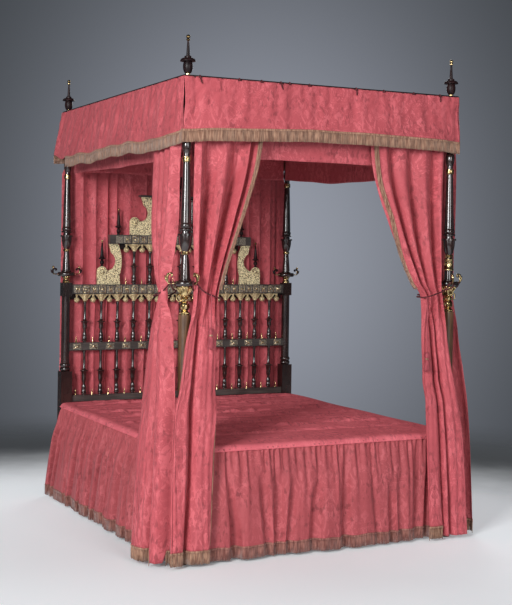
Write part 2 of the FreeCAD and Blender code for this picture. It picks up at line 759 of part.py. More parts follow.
def plaque_row(label, low, height, width, count):
    """Gilt plaques on the front face of a rail, a spindle's pitch apart."""
    body = new_body(label)
    half = width + " / 2"
    tall = height + " - 2 * plaque_margin"
    outline = [("-" + half, "0"), (half, "0"), (half, tall), ("-" + half, tall)]
    feature = add_pad(body, "XZ_Plane", outline, "plaque_thickness")
    start = repeat(body, feature, SPINDLE_PITCH, count)
    place(body, start, BOARD_FRONT, low + " + plaque_margin")
    return body


def bracket(label, side, eye_x, low, high):
    """Pierced C-scroll plate whose lower end rolls into an eye and whose upper end carries a rail."""
    body = new_body(label)
    height = "(%s - (%s))" % (high, low)
    eye_z = "bracket_eye_rise"
    back = "bracket_width - bracket_eye_radius"
    outline = [
        ("-bracket_eye_radius", "0"),
        (back + " - 6", "0"),
        (back + " - 10", height + " * 0.22"),
        (back + " + 3", height + " * 0.62", "arc"),
        ("bracket_top_inset + bracket_top_width", height),
        ("bracket_top_inset", height),
        ("bracket_top_inset + bracket_top_width / 4", height + " * 0.78"),
        (back + " - bracket_band", height + " * 0.58", "arc"),
        ("bracket_eye_radius * 1.15", eye_z + " + 4"),
        ("bracket_eye_radius", eye_z),
        ("0", eye_z + " + bracket_eye_radius", "arc"),
        ("-bracket_eye_radius", eye_z),
    ]
    add_pad(body, "XZ_Plane", outline, "bracket_thickness", midplane=True)
    hole = add_sketch(body, "XZ_Plane", [
        ("bracket_eye_hole_radius", eye_z),
        ("0", eye_z + " + bracket_eye_hole_radius", "arc"),
        ("-bracket_eye_hole_radius", eye_z),
        ("0", eye_z + " - bracket_eye_hole_radius", "arc"),
    ])
    pocket = body.newObject("PartDesign::Pocket", "eye")
    pocket.Profile = hole
    pocket.Midplane = True
    bind(pocket, Length="bracket_thickness * 2")
    if side > 0:
        body.Placement = FreeCAD.Placement(Vector(0, 0, 0), FreeCAD.Rotation(Vector(0, 0, 1), 180))
    place(body, "%d * %s" % (side, eye_x), HALF_Y, low)
    return body


CREST_CUP = "crest_finial_cup_height"
CREST_TIP = CREST_CUP + " + crest_finial_spire_height"
CREST_FINIAL = [
    ("0", "0"),
    ("crest_finial_base_radius", "0"),
    ("crest_finial_base_radius", CREST_CUP + " * 0.1"),
    ("crest_finial_base_radius * 0.6", CREST_CUP + " * 0.16"),
    ("crest_finial_cup_radius * 0.85", CREST_CUP + " * 0.42", "arc"),
    ("crest_finial_base_radius * 0.7", CREST_CUP + " * 0.72"),
    ("crest_finial_cup_radius", CREST_CUP + " * 0.92"),
    ("crest_finial_cup_radius", CREST_CUP),
    ("crest_finial_spire_radius", CREST_CUP + " + crest_finial_spire_radius"),
    ("crest_finial_spire_top_radius", CREST_TIP),
    ("0", CREST_TIP),
]
CREST_FINIAL_TIP = [
    ("0", CREST_TIP),
    ("crest_finial_spire_top_radius + 1", CREST_TIP),
    ("crest_finial_tip_radius", CREST_TIP + " + crest_finial_tip_height * 0.3"),
    ("crest_finial_tip_radius", CREST_TIP + " + crest_finial_tip_height * 0.55"),
    ("crest_finial_spire_top_radius - 2", CREST_TIP + " + crest_finial_tip_height * 0.9"),
    ("0", CREST_TIP + " + crest_finial_tip_height"),
]


def crest_finials():
    """Finials on the lower scroll eyes, on the crest rail's ends and on the middle of the cap."""
    woods = []
    tips = []
    eye_top = "top_rail_z + top_rail_height + bracket_eye_rise + bracket_eye_radius"
    spots = [(side, x, z) for x, z in ((LOWER_BRACKET_X, eye_top),
                                       (CREST_FINIAL_X, "crest_rail_z + crest_rail_height"))
             for side in (-1, 1)]
    spots.append((0, CREST_FINIAL_X, "cap_z + cap_height"))
    for side, x, z in spots:
        for profile, family in ((CREST_FINIAL, woods), (CREST_FINIAL_TIP, tips)):
            body = new_body("crest_turning")
            turn(body, profile)
            place(body, "%d * %s" % (side, x), HALF_Y, z)
            family.append(body)
    return [group("crest_finials", woods), group("crest_finial_tips", tips)]


def make_headboard():
    top_of = {name: "%s_z + %s_height" % (name, name) for name in
              ("lower_rail", "mid_rail", "top_rail", "crest_rail")}
    block_face = HALF_X + " - block_width / 2"
    rail_block_face = HALF_X + " - rail_block_width / 2"
    in_column = HALF_X + " - leg_radius + tenon_length"
    gaps = "spindle_count + 1"
    crest_half = LOWER_BRACKET_X + " - bracket_top_inset"
    cap_half = UPPER_BRACKET_X + " - bracket_top_inset + cap_overhang"
    nodes = [
        rail("headboard_lower_rail", block_face, "lower_rail_z", "lower_rail_height"),
        rail("headboard_mid_rail", in_column, "mid_rail_z", "mid_rail_height"),
        rail("headboard_top_rail", rail_block_face, "top_rail_z", "top_rail_height"),
        rail("crest_rail", crest_half, "crest_rail_z", "crest_rail_height"),
        rail("crest_cap", cap_half, "cap_z", "cap_height"),
        spindle_row("lower_spindles", top_of["lower_rail"], "mid_rail_z", SPINDLE_PITCH, "spindle_count"),
        spindle_row("upper_spindles", top_of["mid_rail"], "top_rail_z", SPINDLE_PITCH, "spindle_count"),
        spindle_row("crest_spindles", top_of["top_rail"], "crest_rail_z", SPINDLE_PITCH,
                    "crest_spindle_count"),
        spindle_row("cap_spindles", top_of["crest_rail"], "cap_z", "cap_spindle_pitch",
                    "cap_spindle_count"),
    ]
    nodes.append(group("headboard_pendants", [
        small_row("top_pendants", PENDANT, "top_rail_z", SPINDLE_PITCH, "(%s)" % gaps),
        small_row("crest_pendants", PENDANT, "crest_rail_z", SPINDLE_PITCH, "(crest_spindle_count + 1)"),
    ]))
    nodes.append(group("rail_aprons", [
        small_row("top_trumpets", TRUMPET, "top_rail_z", SPINDLE_PITCH, "spindle_count"),
        small_row("crest_trumpets", TRUMPET, "crest_rail_z", SPINDLE_PITCH, "crest_spindle_count"),
    ]))
    nodes.append(group("rail_spikes", [
        small_row("lower_spikes", SPIKE, top_of["lower_rail"], SPINDLE_PITCH, "(%s)" % gaps),
        small_row("mid_spikes", SPIKE, top_of["mid_rail"], SPINDLE_PITCH, "(%s)" % gaps),
        small_row("top_spikes", SPIKE, top_of["top_rail"], SPINDLE_PITCH, "(crest_spindle_count + 1)"),
    ]))
    nodes.append(group("rail_plaques", [
        plaque_row("mid_plaques", "mid_rail_z", "mid_rail_height", "plaque_width", "(%s)" % gaps),
        plaque_row("top_plaques", "top_rail_z", "top_rail_height", "square_plaque_width", "spindle_count"),
        plaque_row("crest_plaques", "crest_rail_z", "crest_rail_height", "square_plaque_width",
                   "crest_plaque_count"),
    ]))
    for tier, eye_x, low, high in (("lower", LOWER_BRACKET_X, top_of["top_rail"], "crest_rail_z"),
                                   ("upper", UPPER_BRACKET_X, top_of["crest_rail"], "cap_z")):
        pair = [bracket("%s_bracket" % tier, side, eye_x, low, high) for side in (-1, 1)]
        nodes.append(group("%s_scroll_brackets" % tier, pair))
    return nodes + crest_finials()


SLAT_Z = "bed_rail_z + ledger_size"
MATTRESS_Z = SLAT_Z + " + slat_thickness"
MATTRESS_TOP = MATTRESS_Z + " + mattress_height"
COVERLET_Z = MATTRESS_TOP + " + seat_gap"
RAIL_HALF = "bed_rail_width / 2"


def bed_rails():
    """Two side rails with ledgers for the slats, and a rail at each end."""
    low, high = "bed_rail_z", "bed_rail_z + bed_rail_height"
    long_half = HALF_Y + " - block_width / 2"
    short_half = HALF_X + " - block_width / 2"
    members = []
    for side in (-1, 1):
        centre = "%d * %s" % (side, HALF_X)
        inner = "%s - %d * (%s + ledger_size)" % (centre, side, RAIL_HALF)
        face = "%s - %d * %s" % (centre, side, RAIL_HALF)
        members.append(box("side_rail", (centre + " - " + RAIL_HALF, centre + " + " + RAIL_HALF),
                           ("-(%s)" % long_half, long_half), (low, high)))
        ledger_x = (inner, face) if side > 0 else (face, inner)
        members.append(box("ledger", ledger_x, ("-(%s)" % long_half, long_half), (low, SLAT_Z)))
    for end in (-1, 1):
        centre = "%d * %s" % (end, HALF_Y)
        members.append(box("end_rail", ("-(%s)" % short_half, short_half),
                           (centre + " - " + RAIL_HALF, centre + " + " + RAIL_HALF), (low, high)))
    return group("bed_rails", members)


def bed_slats():
    """Slats laid across the ledgers, evenly spaced along the bed."""
    half = size(HALF_X + " - " + RAIL_HALF + " - seat_gap")
    width = size("slat_width")
    count = int(size("slat_count"))
    room = size("post_span_y - block_width") - width
    slats = []
    for number in range(count):
        y = -room / 2 + room * number / (count - 1) - width / 2
        slats.append(Part.makeBox(2 * half, width, size("slat_thickness"), Vector(-half, y, size(SLAT_Z))))
    return solid_feature("bed_slats", Part.makeCompound(slats))


def bed_bolts():
    """Bolts through the post blocks into the rails, heads let in flush."""
    bolts = []
    for name, side, end in POSTS:
        axis = post_axis(side, end)
        face = size("block_width / 2")
        for out, level in ((Vector(0, end, 0), "side_bolt_z"), (Vector(side, 0, 0), "end_bolt_z")):
            seat = axis + out * face + Vector(0, 0, size(level))
            head = Part.makeCylinder(size("bolt_head_radius"), size("bolt_head_height"), seat, out * -1)
            shank = Part.makeCylinder(size("bolt_radius"), size("bolt_length"), seat, out * -1)
            bolts.append(head.fuse(shank))
    return solid_feature("bed_bolts", Part.makeCompound(bolts))


def mattress():
    body = new_body("mattress")
    half_x = HALF_X + " - block_width / 2 - mattress_clearance"
    half_y = HALF_Y + " - %s - mattress_clearance * 2" % RAIL_HALF
    outline = [("-(%s)" % half_x, "-(%s)" % half_y), (half_x, "-(%s)" % half_y), (half_x, half_y),
               ("-(%s)" % half_x, half_y)]
    pad = add_pad(body, "XY_Plane", outline, "mattress_height")
    doc.recompute()
    uprights = ["Edge%d" % number for number, edge in enumerate(pad.Shape.Edges, start=1)
                if abs(edge.tangentAt(edge.FirstParameter).z) > 0.9]
    corners = body.newObject("PartDesign::Fillet", "corners")
    corners.Base = (pad, uprights)
    bind(corners, Radius="mattress_radius")
    place(body, z=MATTRESS_Z)
    return body


TESTER_OUT = "tester_rail_width / 2"


def tester_frame():
    """Four rails on the post tops; the side rails are bored for the pegs."""
    z = (TESTER_BOTTOM, "tester_top_z")
    members = []
    for side in (-1, 1):
        centre = "%d * %s" % (side, HALF_X)
        bar = box("tester_bar", (centre + " - " + TESTER_OUT, centre + " + " + TESTER_OUT),
                  ("-(%s + %s)" % (HALF_Y, TESTER_OUT), "%s + %s" % (HALF_Y, TESTER_OUT)), z)
        for end in (-1, 1):
            hole = doc.addObject("Part::Cylinder", "peg_hole")
            bind(hole, Radius="peg_radius + peg_clearance", Height="tester_rail_height")
            post_place(hole, side, end, TESTER_BOTTOM)
            cut = doc.addObject("Part::Cut", "tester_side_rail")
            cut.Base = bar
            cut.Tool = hole
            bar = cut
        members.append(bar)
    inner = "%s - %s" % (HALF_X, TESTER_OUT)
    for end in (-1, 1):
        centre = "%d * %s" % (end, HALF_Y)
        members.append(box("tester_end_rail", ("-(%s)" % inner, inner),
                           (centre + " - " + TESTER_OUT, centre + " + " + TESTER_OUT), z))
    return group("tester_frame", members)


def tester_cloth():
    """Ceiling cloth nailed on top of the tester rails."""
    half_x = HALF_X + " - tester_cloth_lap"
    half_y = HALF_Y + " - tester_cloth_lap"
    return box("tester_cloth", ("-(%s)" % half_x, half_x), ("-(%s)" % half_y, half_y),
               ("tester_top_z", "tester_top_z + tester_cloth_thickness"))


ROD_Z = TESTER_BOTTOM + " - rod_drop"


def curtain_rods():
    """Rods between the posts: along both sides and across the foot."""
    rods = []
    for name, x, y, along, span in (
            ("left_rod", "-" + HALF_X, "-" + HALF_Y, Vector(0, 1, 0), "post_span_y"),
            ("right_rod", HALF_X, "-" + HALF_Y, Vector(0, 1, 0), "post_span_y"),
            ("foot_rod", "-" + HALF_X, "-" + HALF_Y, Vector(1, 0, 0), "post_span_x")):
        start = "post_top_radius - rod_socket"
        rod = doc.addObject("Part::Cylinder", name)
        bind(rod, Radius="rod_radius", Height="%s - 2 * (%s)" % (span, start))
        rod.Placement = FreeCAD.Placement(Vector(0, 0, 0), FreeCAD.Rotation(Vector(0, 0, 1), along))
        place(rod, "%s + %d * (%s)" % (x, along.x, start), "%s + %d * (%s)" % (y, along.y, start), ROD_Z)
        rods.append(rod)
    return group("curtain_rods", rods)


RING_RADIUS = "(rod_radius + curtain_ring_wire + curtain_ring_play)"
RING_Z = ROD_Z + " - (curtain_ring_play - seat_gap)"


def curtain_rings():
    """Rings that carry each curtain's heading, spread over its width at the top."""
    rings = []
    count = int(size("rings_per_curtain"))
    radius = size(RING_RADIUS)
    wire = size("curtain_ring_wire")
    post_x = size(HALF_X)
    post_y = size(HALF_Y)
    level = size(RING_Z)
    for name, side, on_foot in (("foot_left", -1, True), ("foot_right", 1, True),
                                ("side", -1, False), ("side", 1, False)):
        first = near_edge(name, "rings")
        last = size(name + "_reach_rings")
        for number in range(count):
            run = first + (last - first) * (number + 0.5) / count
            if on_foot:
                centre = Vector(side * (post_x - run), -post_y, level)
                axis = Vector(1, 0, 0)
            else:
                centre = Vector(side * post_x, -post_y + run, level)
                axis = Vector(0, 1, 0)
            rings.append(Part.makeTorus(radius, wire, centre, axis))
    return solid_feature("curtain_rings", Part.makeCompound(rings))


def scallops(start, end, bulge, count):
    """Arcs from one point to another, each standing out to the right of the way by its bulge."""
    step = (end - start) * (1 / count)
    out = Vector(step.y, -step.x, 0).normalize() * bulge
    arcs = []
    for number in range(count):
        first = start + step * number
        arcs.append(Part.Arc(first, first + step * 0.5 + out, first + step).toShape())
    return arcs


def cloth_section(start, end, half_depth, front_bulge, back_bulge, folds):
    """Closed outline of folded cloth that runs from one point to another."""
    along = (end - start).normalize()
    out = Vector(along.y, -along.x, 0) * half_depth
    front = scallops(start + out, end + out, front_bulge, folds)
    back = scallops(end - out, start - out, back_bulge, folds)
    far_cap = Part.LineSegment(end + out, end - out).toShape()
    near_cap = Part.LineSegment(start - out, start + out).toShape()
    return Part.Wire(front + [far_cap] + back + [near_cap])


def hang(label, sections):
    return solid_feature(label, Part.makeLoft(sections, True, True))


def wall(side, distance, half_length, z):
    """Ends of a sheet on one side of the bed, so that its folds stand outwards."""
    ends = {
        "foot": (Vector(-half_length, -distance, z), Vector(half_length, -distance, z)),
        "right": (Vector(distance, -half_length, z), Vector(distance, half_length, z)),
        "head": (Vector(half_length, distance, z), Vector(-half_length, distance, z)),
        "left": (Vector(-distance, half_length, z), Vector(-distance, -half_length, z)),
    }
    return ends[side]


def skirt_section(side, foot_distance, head_distance, half_length, z, thickness, fold, folds):
    """Outline of a side skirt that stands out more at one end of the bed than at the other."""
    foot_end = Vector(foot_distance, -half_length, z)
    head_end = Vector(head_distance, half_length, z)
    if side == "right":
        return cloth_section(foot_end, head_end, thickness / 2, fold, -fold, folds)
    foot_end.x = -foot_end.x
    head_end.x = -head_end.x
    return cloth_section(head_end, foot_end, thickness / 2, fold, -fold, folds)


def sheet_section(side, distance, half_length, z, thickness, fold, folds, inwards=False):
    start, end = wall(side, distance, half_length, z)
    if inwards:
        start, end = end, start
    return cloth_section(start, end, thickness / 2, fold, -fold, folds)


SIDES = ("foot", "right", "head", "left")
FLAT_FOLD = 0.5


def valances():
    """Outer valances nailed round the tester: they flare, and part at the corners."""
    nodes = []
    thickness = size("cloth_thickness")
    top = size("tester_top_z - valance_top_drop")
    flare = size("valance_flare")
    slit = size("valance_slit")
    fold = size("valance_fold")
    out_x = size("%s + %s + seat_gap" % (HALF_X, TESTER_OUT))
    out_y = size("%s + %s + seat_gap" % (HALF_Y, TESTER_OUT))
    for side in SIDES:
        across = side in ("foot", "head")
        face = (out_y if across else out_x) + thickness / 2
        half = out_x - slit if across else out_y + thickness
        sections = [
            sheet_section(side, face, half, top, thickness, FLAT_FOLD, int(size("valance_folds"))),
            sheet_section(side, face + flare, half + flare, top - size("valance_depth"), thickness, fold,
                          int(size("valance_folds"))),
        ]
        nodes.append(hang("valance_" + side, sections))
    return nodes


def inner_valances():
    """Straight valances nailed inside the tester rails."""
    thickness = size("cloth_thickness")
    top = size("tester_top_z - valance_top_drop")
    bottom = top - size("inner_valance_depth")
    in_x = size("%s - %s - seat_gap" % (HALF_X, TESTER_OUT))
    in_y = size("%s - %s - seat_gap" % (HALF_Y, TESTER_OUT))
    fold = size("valance_fold")
    shapes = []
    for side in SIDES:
        across = side in ("foot", "head")
        face = (in_y if across else in_x) - thickness / 2
        half = in_x - size("valance_slit") - thickness if across else in_y
        sections = [sheet_section(side, face, half, z, thickness, bulge, int(size("valance_folds")), True)
                    for z, bulge in ((top, FLAT_FOLD), (bottom, fold))]
        shapes.append(Part.makeLoft(sections, True, True))
    return solid_feature("inner_valances", Part.makeCompound(shapes))


def head_curtain():
    """Gathered cloth nailed under the head rail of the tester, hung behind the headboard."""
    thickness = size("cloth_thickness")
    half = size(HALF_X + " - head_curtain_side_gap")
    folds = int(size("head_curtain_folds"))
    fold = size("head_curtain_fold")
    behind = size(BOARD_BACK + " + head_curtain_clearance") + thickness / 2
    levels = [
        (size(TESTER_BOTTOM + " - seat_gap"), size(HALF_Y), fold * 0.8),
        (size("head_curtain_bend_z"), behind, fold),
        (size("head_curtain_z"), behind, fold),
    ]
    sections = [sheet_section("head", y, half, z, thickness, bulge, folds) for z, y, bulge in levels]
    return hang("head_curtain", sections)


CURTAIN_Z = {
    "rings": "%s - %s - curtain_ring_wire - seat_gap" % (RING_Z, RING_RADIUS),
    "valance": "tester_top_z - valance_level_drop",
    "chest": "disc_z + chest_rise",
    "tie_top": "disc_z + tie_top_rise",
    "tie_low": "disc_z - tie_low_drop",
    "sag": "disc_z - sag_drop",
    "fall": MATTRESS_TOP + " + fall_rise",
    "clear": MATTRESS_TOP + " + clear_rise",
    "bed": MATTRESS_TOP + " + bed_rise",
    "hem": "curtain_hem_z",
}
# Levels where the curtains hang outside the post blocks
OUTSIDE_BLOCK = ("clear", "bed", "hem")


def near_run(edges, level):
    """Curtain edge from the post centre: by the post at the top, and clear of the disc at the tie."""
    alias = "%s_start_%s" % (edges, level)
    if alias in ALIASES:
        return alias
    if level in ("tie_top", "tie_low"):
        return "(disc_radius + tie_clearance)"
    return "curtain_end_gap"


def near_edge(edges, level):
    return size(near_run(edges, level))


def stand_out(set_name, level):
    """How far a curtain stands out from the post line at its edge by the post and at its leading edge."""
    near = "%s_out_%s" % (set_name, level)
    far = "%s_far_out_%s" % (set_name, level)
    base = size("block_width / 2") if level in OUTSIDE_BLOCK else 0
    return base + size(near), base + size(far if far in ALIASES else near)


def curtain_depth(set_name, level):
    """Half depth of a curtain: inside the tester rails' faces at the top, and given lower down."""
    alias = "%s_depth_%s" % (set_name, level)
    if alias in ALIASES:
        return size(alias)
    return size("%s - %s_fold_%s - curtain_top_clearance" % (TESTER_OUT, set_name, level))


def curtain(label, edges, set_name, side, on_foot):
    """Curtain drawn to its post and tied: gathered at the waist, opening again towards the hem."""
    post = post_axis(side, -1)
    sections = []
    for level in CURTAIN_LEVELS:
        z = size(CURTAIN_Z[level])
        near_out, far_out = stand_out(set_name, level)
        depth = curtain_depth(set_name, level)
        fold = size("%s_fold_%s" % (set_name, level))
        near = near_edge(edges, level)
        far = size("%s_reach_%s" % (edges, level))
        if on_foot:
            ends = [Vector(post.x - side * run, post.y - out, z)
                    for run, out in ((near, near_out), (far, far_out))]
        else:
            ends = [Vector(post.x + side * out, post.y + run, z)
                    for run, out in ((near, near_out), (far, far_out))]
        sections.append(cloth_section(ends[0], ends[1], depth, fold, fold, int(size("curtain_folds"))))
    return hang(label, sections)


def make_curtains():
    return [
        head_curtain(),
        curtain("curtain_foot_left", "foot_left", "foot", -1, True),
        curtain("curtain_foot_right", "foot_right", "foot", 1, True),
        curtain("curtain_side_left", "side", "side", -1, False),
        curtain("curtain_side_right", "side", "side", 1, False),
    ]


NOTCH = "(block_width / 2 + coverlet_notch_gap)"


def coverlet_top():
    """Quilted panel over the mattress, cut out round the posts, with a rounded upper edge."""
    body = new_body("coverlet_top")
    side = HALF_X + " + coverlet_overhang"
    foot = "-(%s + coverlet_foot_overhang)" % HALF_Y
    head = HALF_Y + " - coverlet_head_gap"
    notch_x = HALF_X + " - " + NOTCH
    notch_y = HALF_Y + " - " + NOTCH
    right = [(notch_x, foot), (notch_x, "-(%s)" % notch_y), (side, "-(%s)" % notch_y), (side, notch_y),
             (notch_x, notch_y), (notch_x, head)]
    left = [("-(%s)" % x, y) for x, y in reversed(right)]
    pad = add_pad(body, "XY_Plane", right + left, "coverlet_thickness")
    doc.recompute()
    top = size("coverlet_thickness")
    rims = ["Edge%d" % number for number, edge in enumerate(pad.Shape.Edges, start=1)
            if all(abs(vertex.Z - top) < 1e-3 for vertex in edge.Vertexes)]
    rounded = body.newObject("PartDesign::Fillet", "rounded_edge")
    rounded.Base = (pad, rims)
    bind(rounded, Radius="coverlet_radius")
    place(body, z=COVERLET_Z)
    return body


# How deep the skirts' folds are at the seam, as a share of their depth at the hem
SEAM_SHARE = 0.4


def coverlet_skirts():
    """Gathered skirts sewn under the panel's edges: both sides and the foot."""
    thickness = size("skirt_thickness")
    top = size(COVERLET_Z + " - seat_gap")
    hem = size("skirt_hem_z")
    notch = size(NOTCH + " + skirt_end_gap")
    side_face = size("%s + %s + skirt_standoff" % (HALF_X, RAIL_HALF)) + thickness / 2
    foot_face = size("%s + %s + foot_skirt_standoff" % (HALF_Y, RAIL_HALF)) + thickness / 2
    side_half = size(HALF_Y) - notch
    foot_half = size(HALF_X) - notch
    fold = size("skirt_fold")
    foot_hem = side_face + size("skirt_flare")
    head_hem = side_face + size("skirt_head_flare")
    folds = int(size("skirt_folds"))
    shapes = []
    for side in ("right", "left"):
        sections = [
            skirt_section(side, side_face, side_face, side_half, top, thickness, fold * SEAM_SHARE, folds),
            skirt_section(side, foot_hem, head_hem, side_half, hem, thickness, fold, folds),
        ]
        shapes.append(Part.makeLoft(sections, True, True))
    foot_fold = size("foot_skirt_fold")
    foot_folds = int(size("foot_skirt_folds"))
    sections = [sheet_section("foot", foot_face, foot_half, z, thickness, bulge, foot_folds)
                for z, bulge in ((top, foot_fold * SEAM_SHARE), (hem, foot_fold))]
    shapes.append(Part.makeLoft(sections, True, True))
    return solid_feature("coverlet_skirts", Part.makeCompound(shapes))


def looped_tube(points, bends, radius, gap):
    """A tube round a loop of straight runs and tangent arcs, its two ends a small gap apart."""
    count = len(points)
    arcs = []
    for number, bend in enumerate(bends):
        corner = points[number]
        before = (points[number - 1] - corner).normalize()
        after = (points[(number + 1) % count] - corner).normalize()
        half_turn = (math.pi - before.getAngle(after)) / 2
        reach = bend * math.tan(half_turn)
        middle = (before + after).normalize() * (bend / math.cos(half_turn) - bend)
        arcs.append((corner + before * reach, corner + middle, corner + after * reach))
    runs = [(arcs[number][2], arcs[(number + 1) % count][0]) for number in range(count)]
    last_start, last_end = runs[-1]
    closing = (last_end - last_start).normalize()
    start = last_start + (last_end - last_start) * 0.5
    edges = [Part.LineSegment(start + closing * gap, last_end).toShape()]
    for number in range(count):
        edges.append(Part.Arc(*arcs[number]).toShape())
        run_end = runs[number][1] if number < count - 1 else start
        edges.append(Part.LineSegment(runs[number][0], run_end).toShape())
    path = Part.Wire(edges)
    section = Part.Wire([Part.makeCircle(radius, start + closing * gap, closing)])
    tube = path.makePipeShell([section], True, False)
    wanted = math.pi * radius ** 2 * path.Length
    print("tie-back cord: length %.0f mm, bends %s mm, volume ratio %.4f"
          % (path.Length, sorted(set(bends)), tube.Volume / wanted))
    return tube


def tie_far(edges):
    """Far end of a tie-back from the post centre, just past the edge of the gathers."""
    share = "(tie_low_drop - tie_drop) / (tie_top_rise + tie_low_drop)"
    low = edges + "_reach_tie_low"
    return "(%s + (%s_reach_tie_top - %s) * %s + tie_end_margin)" % (low, edges, low, share)


def tie_route(edges, set_name):
    """Route of a tie-back round its gathers: along the curtain, outwards, and height from the disc."""
    far = size(tie_far(edges))
    near = near_edge(edges, "tie_low")
    near_out, far_out = stand_out(set_name, "tie_low")
    away = size("%s_depth_tie_low + %s_fold_tie_low + cord_margin" % (set_name, set_name))
    under = size("disc_radius + hook_reach / 2")
    return [
        (near, near_out + away, -size("tie_near_drop")),
        (far, far_out + away, -size("tie_drop")),
        (far, far_out - away, -size("tie_drop")),
        (near - size("cord_radius"), near_out - away, -size("tie_near_drop")),
        (size("tie_under_hook"), under, -size("tie_hook_drop")),
    ]


def tie_back_cords():
    """Cords over the hooks and round the gathers of the four tied curtains."""
    cords = []
    radius = size("cord_radius")
    hook_bend = radius + size("hook_wire_radius")
    bends = [hook_bend, hook_bend] + [size("cord_bend_radius")] * 5
    over = size("disc_radius + hook_reach / 2")
    half_top = size("tie_hook_width") / 2
    lift = Vector(0, 0, hook_bend + size("seat_gap"))
    for side in (-1, 1):
        post = post_axis(side, -1) + Vector(0, 0, size("disc_z"))
        side_angle, foot_angle = hook_angles(side, -1)
        for angle, edges, on_foot in ((foot_angle, "foot_left" if side < 0 else "foot_right", True),
                                      (side_angle, "side", False)):
            turned = math.radians(angle)
            arm = Vector(math.cos(turned), math.sin(turned), 0)
            towards = Vector(-side, 0, 0) if on_foot else Vector(0, 1, 0)
            across = Vector(-arm.y, arm.x, 0)
            across = across if across.dot(towards) > 0 else -across
            on_hook = post + arm * over + lift
            points = [on_hook - across * half_top, on_hook + across * half_top]
            for along, out, rise in tie_route(edges, "foot" if on_foot else "side"):
                step = Vector(-side * along, -out, rise) if on_foot else Vector(side * out, along, rise)
                points.append(post + step)
            cords.append(looped_tube(points, bends, radius, size("seat_gap")))
    return solid_feature("tie_back_cords", Part.makeCompound(cords))


TASSEL_OUT = ("foot_out_tie_low + foot_depth_tie_low + foot_fold_tie_low + cord_margin + cord_radius"
              " + tail_radius + seat_gap")


def tassel(name, side):
    """Tassel on a cord tail that hangs from the front of a foot tie-back."""
    body = new_body("tassel_" + name)
    head = "-%s_tail_length" % name
    turn(body, [
        ("0", "0"),
        ("tail_radius", "0"),
        ("tail_radius", head),
        ("tassel_head_radius", head + " - tassel_head_height * 0.5", "arc"),
        ("tassel_head_radius * 0.7", head + " - tassel_head_height"),
        ("tassel_radius - 3", head + " - tassel_head_height * 1.5"),
        ("tassel_radius", head + " - tassel_length"),
        ("0", head + " - tassel_length"),
    ])
    run = name + "_tassel_run"
    near = near_run("foot_" + name, "tie_low")
    share = "(%s - %s) / (%s - %s)" % (run, near, tie_far("foot_" + name), near)
    place(body, "%d * (%s - %s)" % (side, HALF_X, run), "-(%s + %s)" % (HALF_Y, TASSEL_OUT),
          "disc_z - tie_near_drop - (tie_drop - tie_near_drop) * " + share)
    return body


def make_hangings():
    nodes = [tester_cloth(), curtain_rods(), curtain_rings()]
    nodes += valances()
    nodes += [inner_valances()]
    nodes += make_curtains()
    nodes += [coverlet_top(), coverlet_skirts(), tie_back_cords()]
    nodes += [tassel("left", -1), tassel("right", 1)]
    return nodes


def check(nodes):
    """Stop if any object failed or any node is empty, broken or larger in number than allowed."""
    for item in doc.Objects:
        if "Invalid" in item.State or "Error" in item.State:
            raise RuntimeError("failed object: %s %s" % (item.Label, item.State))
    labels = [node.Label for node in nodes]
    if len(set(labels)) != len(labels) or len(labels) > 60:
        raise RuntimeError("node names repeat or are too many: %d" % len(labels))
    for node in nodes:
        if node.Shape.isNull() or not node.Shape.isValid() or node.Shape.Volume <= 0:
            raise RuntimeError("bad shape: " + node.Label)


def main():
    nodes = make_posts() + make_headboard()
    nodes += [bed_rails(), bed_slats(), bed_bolts(), mattress(), tester_frame()]
    nodes += make_hangings()
    doc.recompute()
    check(nodes)
    os.makedirs("parts", exist_ok=True)
    for node in nodes:
        node.Shape.exportStep("parts/%s.step" % node.Label)
    print("wrote %d nodes" % len(nodes))


main()
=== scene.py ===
import json
import math

import bpy
import numpy as np
from mathutils import Matrix, Vector


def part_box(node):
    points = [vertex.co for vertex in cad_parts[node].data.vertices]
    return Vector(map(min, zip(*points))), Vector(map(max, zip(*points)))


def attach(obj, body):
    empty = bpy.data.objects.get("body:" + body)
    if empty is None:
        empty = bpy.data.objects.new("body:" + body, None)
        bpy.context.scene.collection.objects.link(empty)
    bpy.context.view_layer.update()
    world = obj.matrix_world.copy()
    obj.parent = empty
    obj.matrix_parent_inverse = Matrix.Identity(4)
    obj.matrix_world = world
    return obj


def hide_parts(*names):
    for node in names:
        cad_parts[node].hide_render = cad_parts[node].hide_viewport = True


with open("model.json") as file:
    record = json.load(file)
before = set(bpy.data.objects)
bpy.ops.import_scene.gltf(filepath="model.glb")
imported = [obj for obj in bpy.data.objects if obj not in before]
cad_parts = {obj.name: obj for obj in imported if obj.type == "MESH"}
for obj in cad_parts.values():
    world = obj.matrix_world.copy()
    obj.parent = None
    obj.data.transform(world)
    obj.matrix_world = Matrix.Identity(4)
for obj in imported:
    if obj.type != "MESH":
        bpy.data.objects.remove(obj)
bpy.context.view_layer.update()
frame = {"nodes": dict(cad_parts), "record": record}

NODES = frame["nodes"]
TAU = 2 * math.pi
POST_X = 0.786
POST_Y = 0.968
DISC_Z = 1.390
VIEW_YAW = math.radians(26.14)
VIEW_ROLL = math.radians(0.80)
CAMERA_PLACE = (-3.170, -6.619, 1.566)


def new_object(name, data):
    """An object linked to the scene."""
    piece = bpy.data.objects.new(name, data)
    bpy.context.scene.collection.objects.link(piece)
    return piece


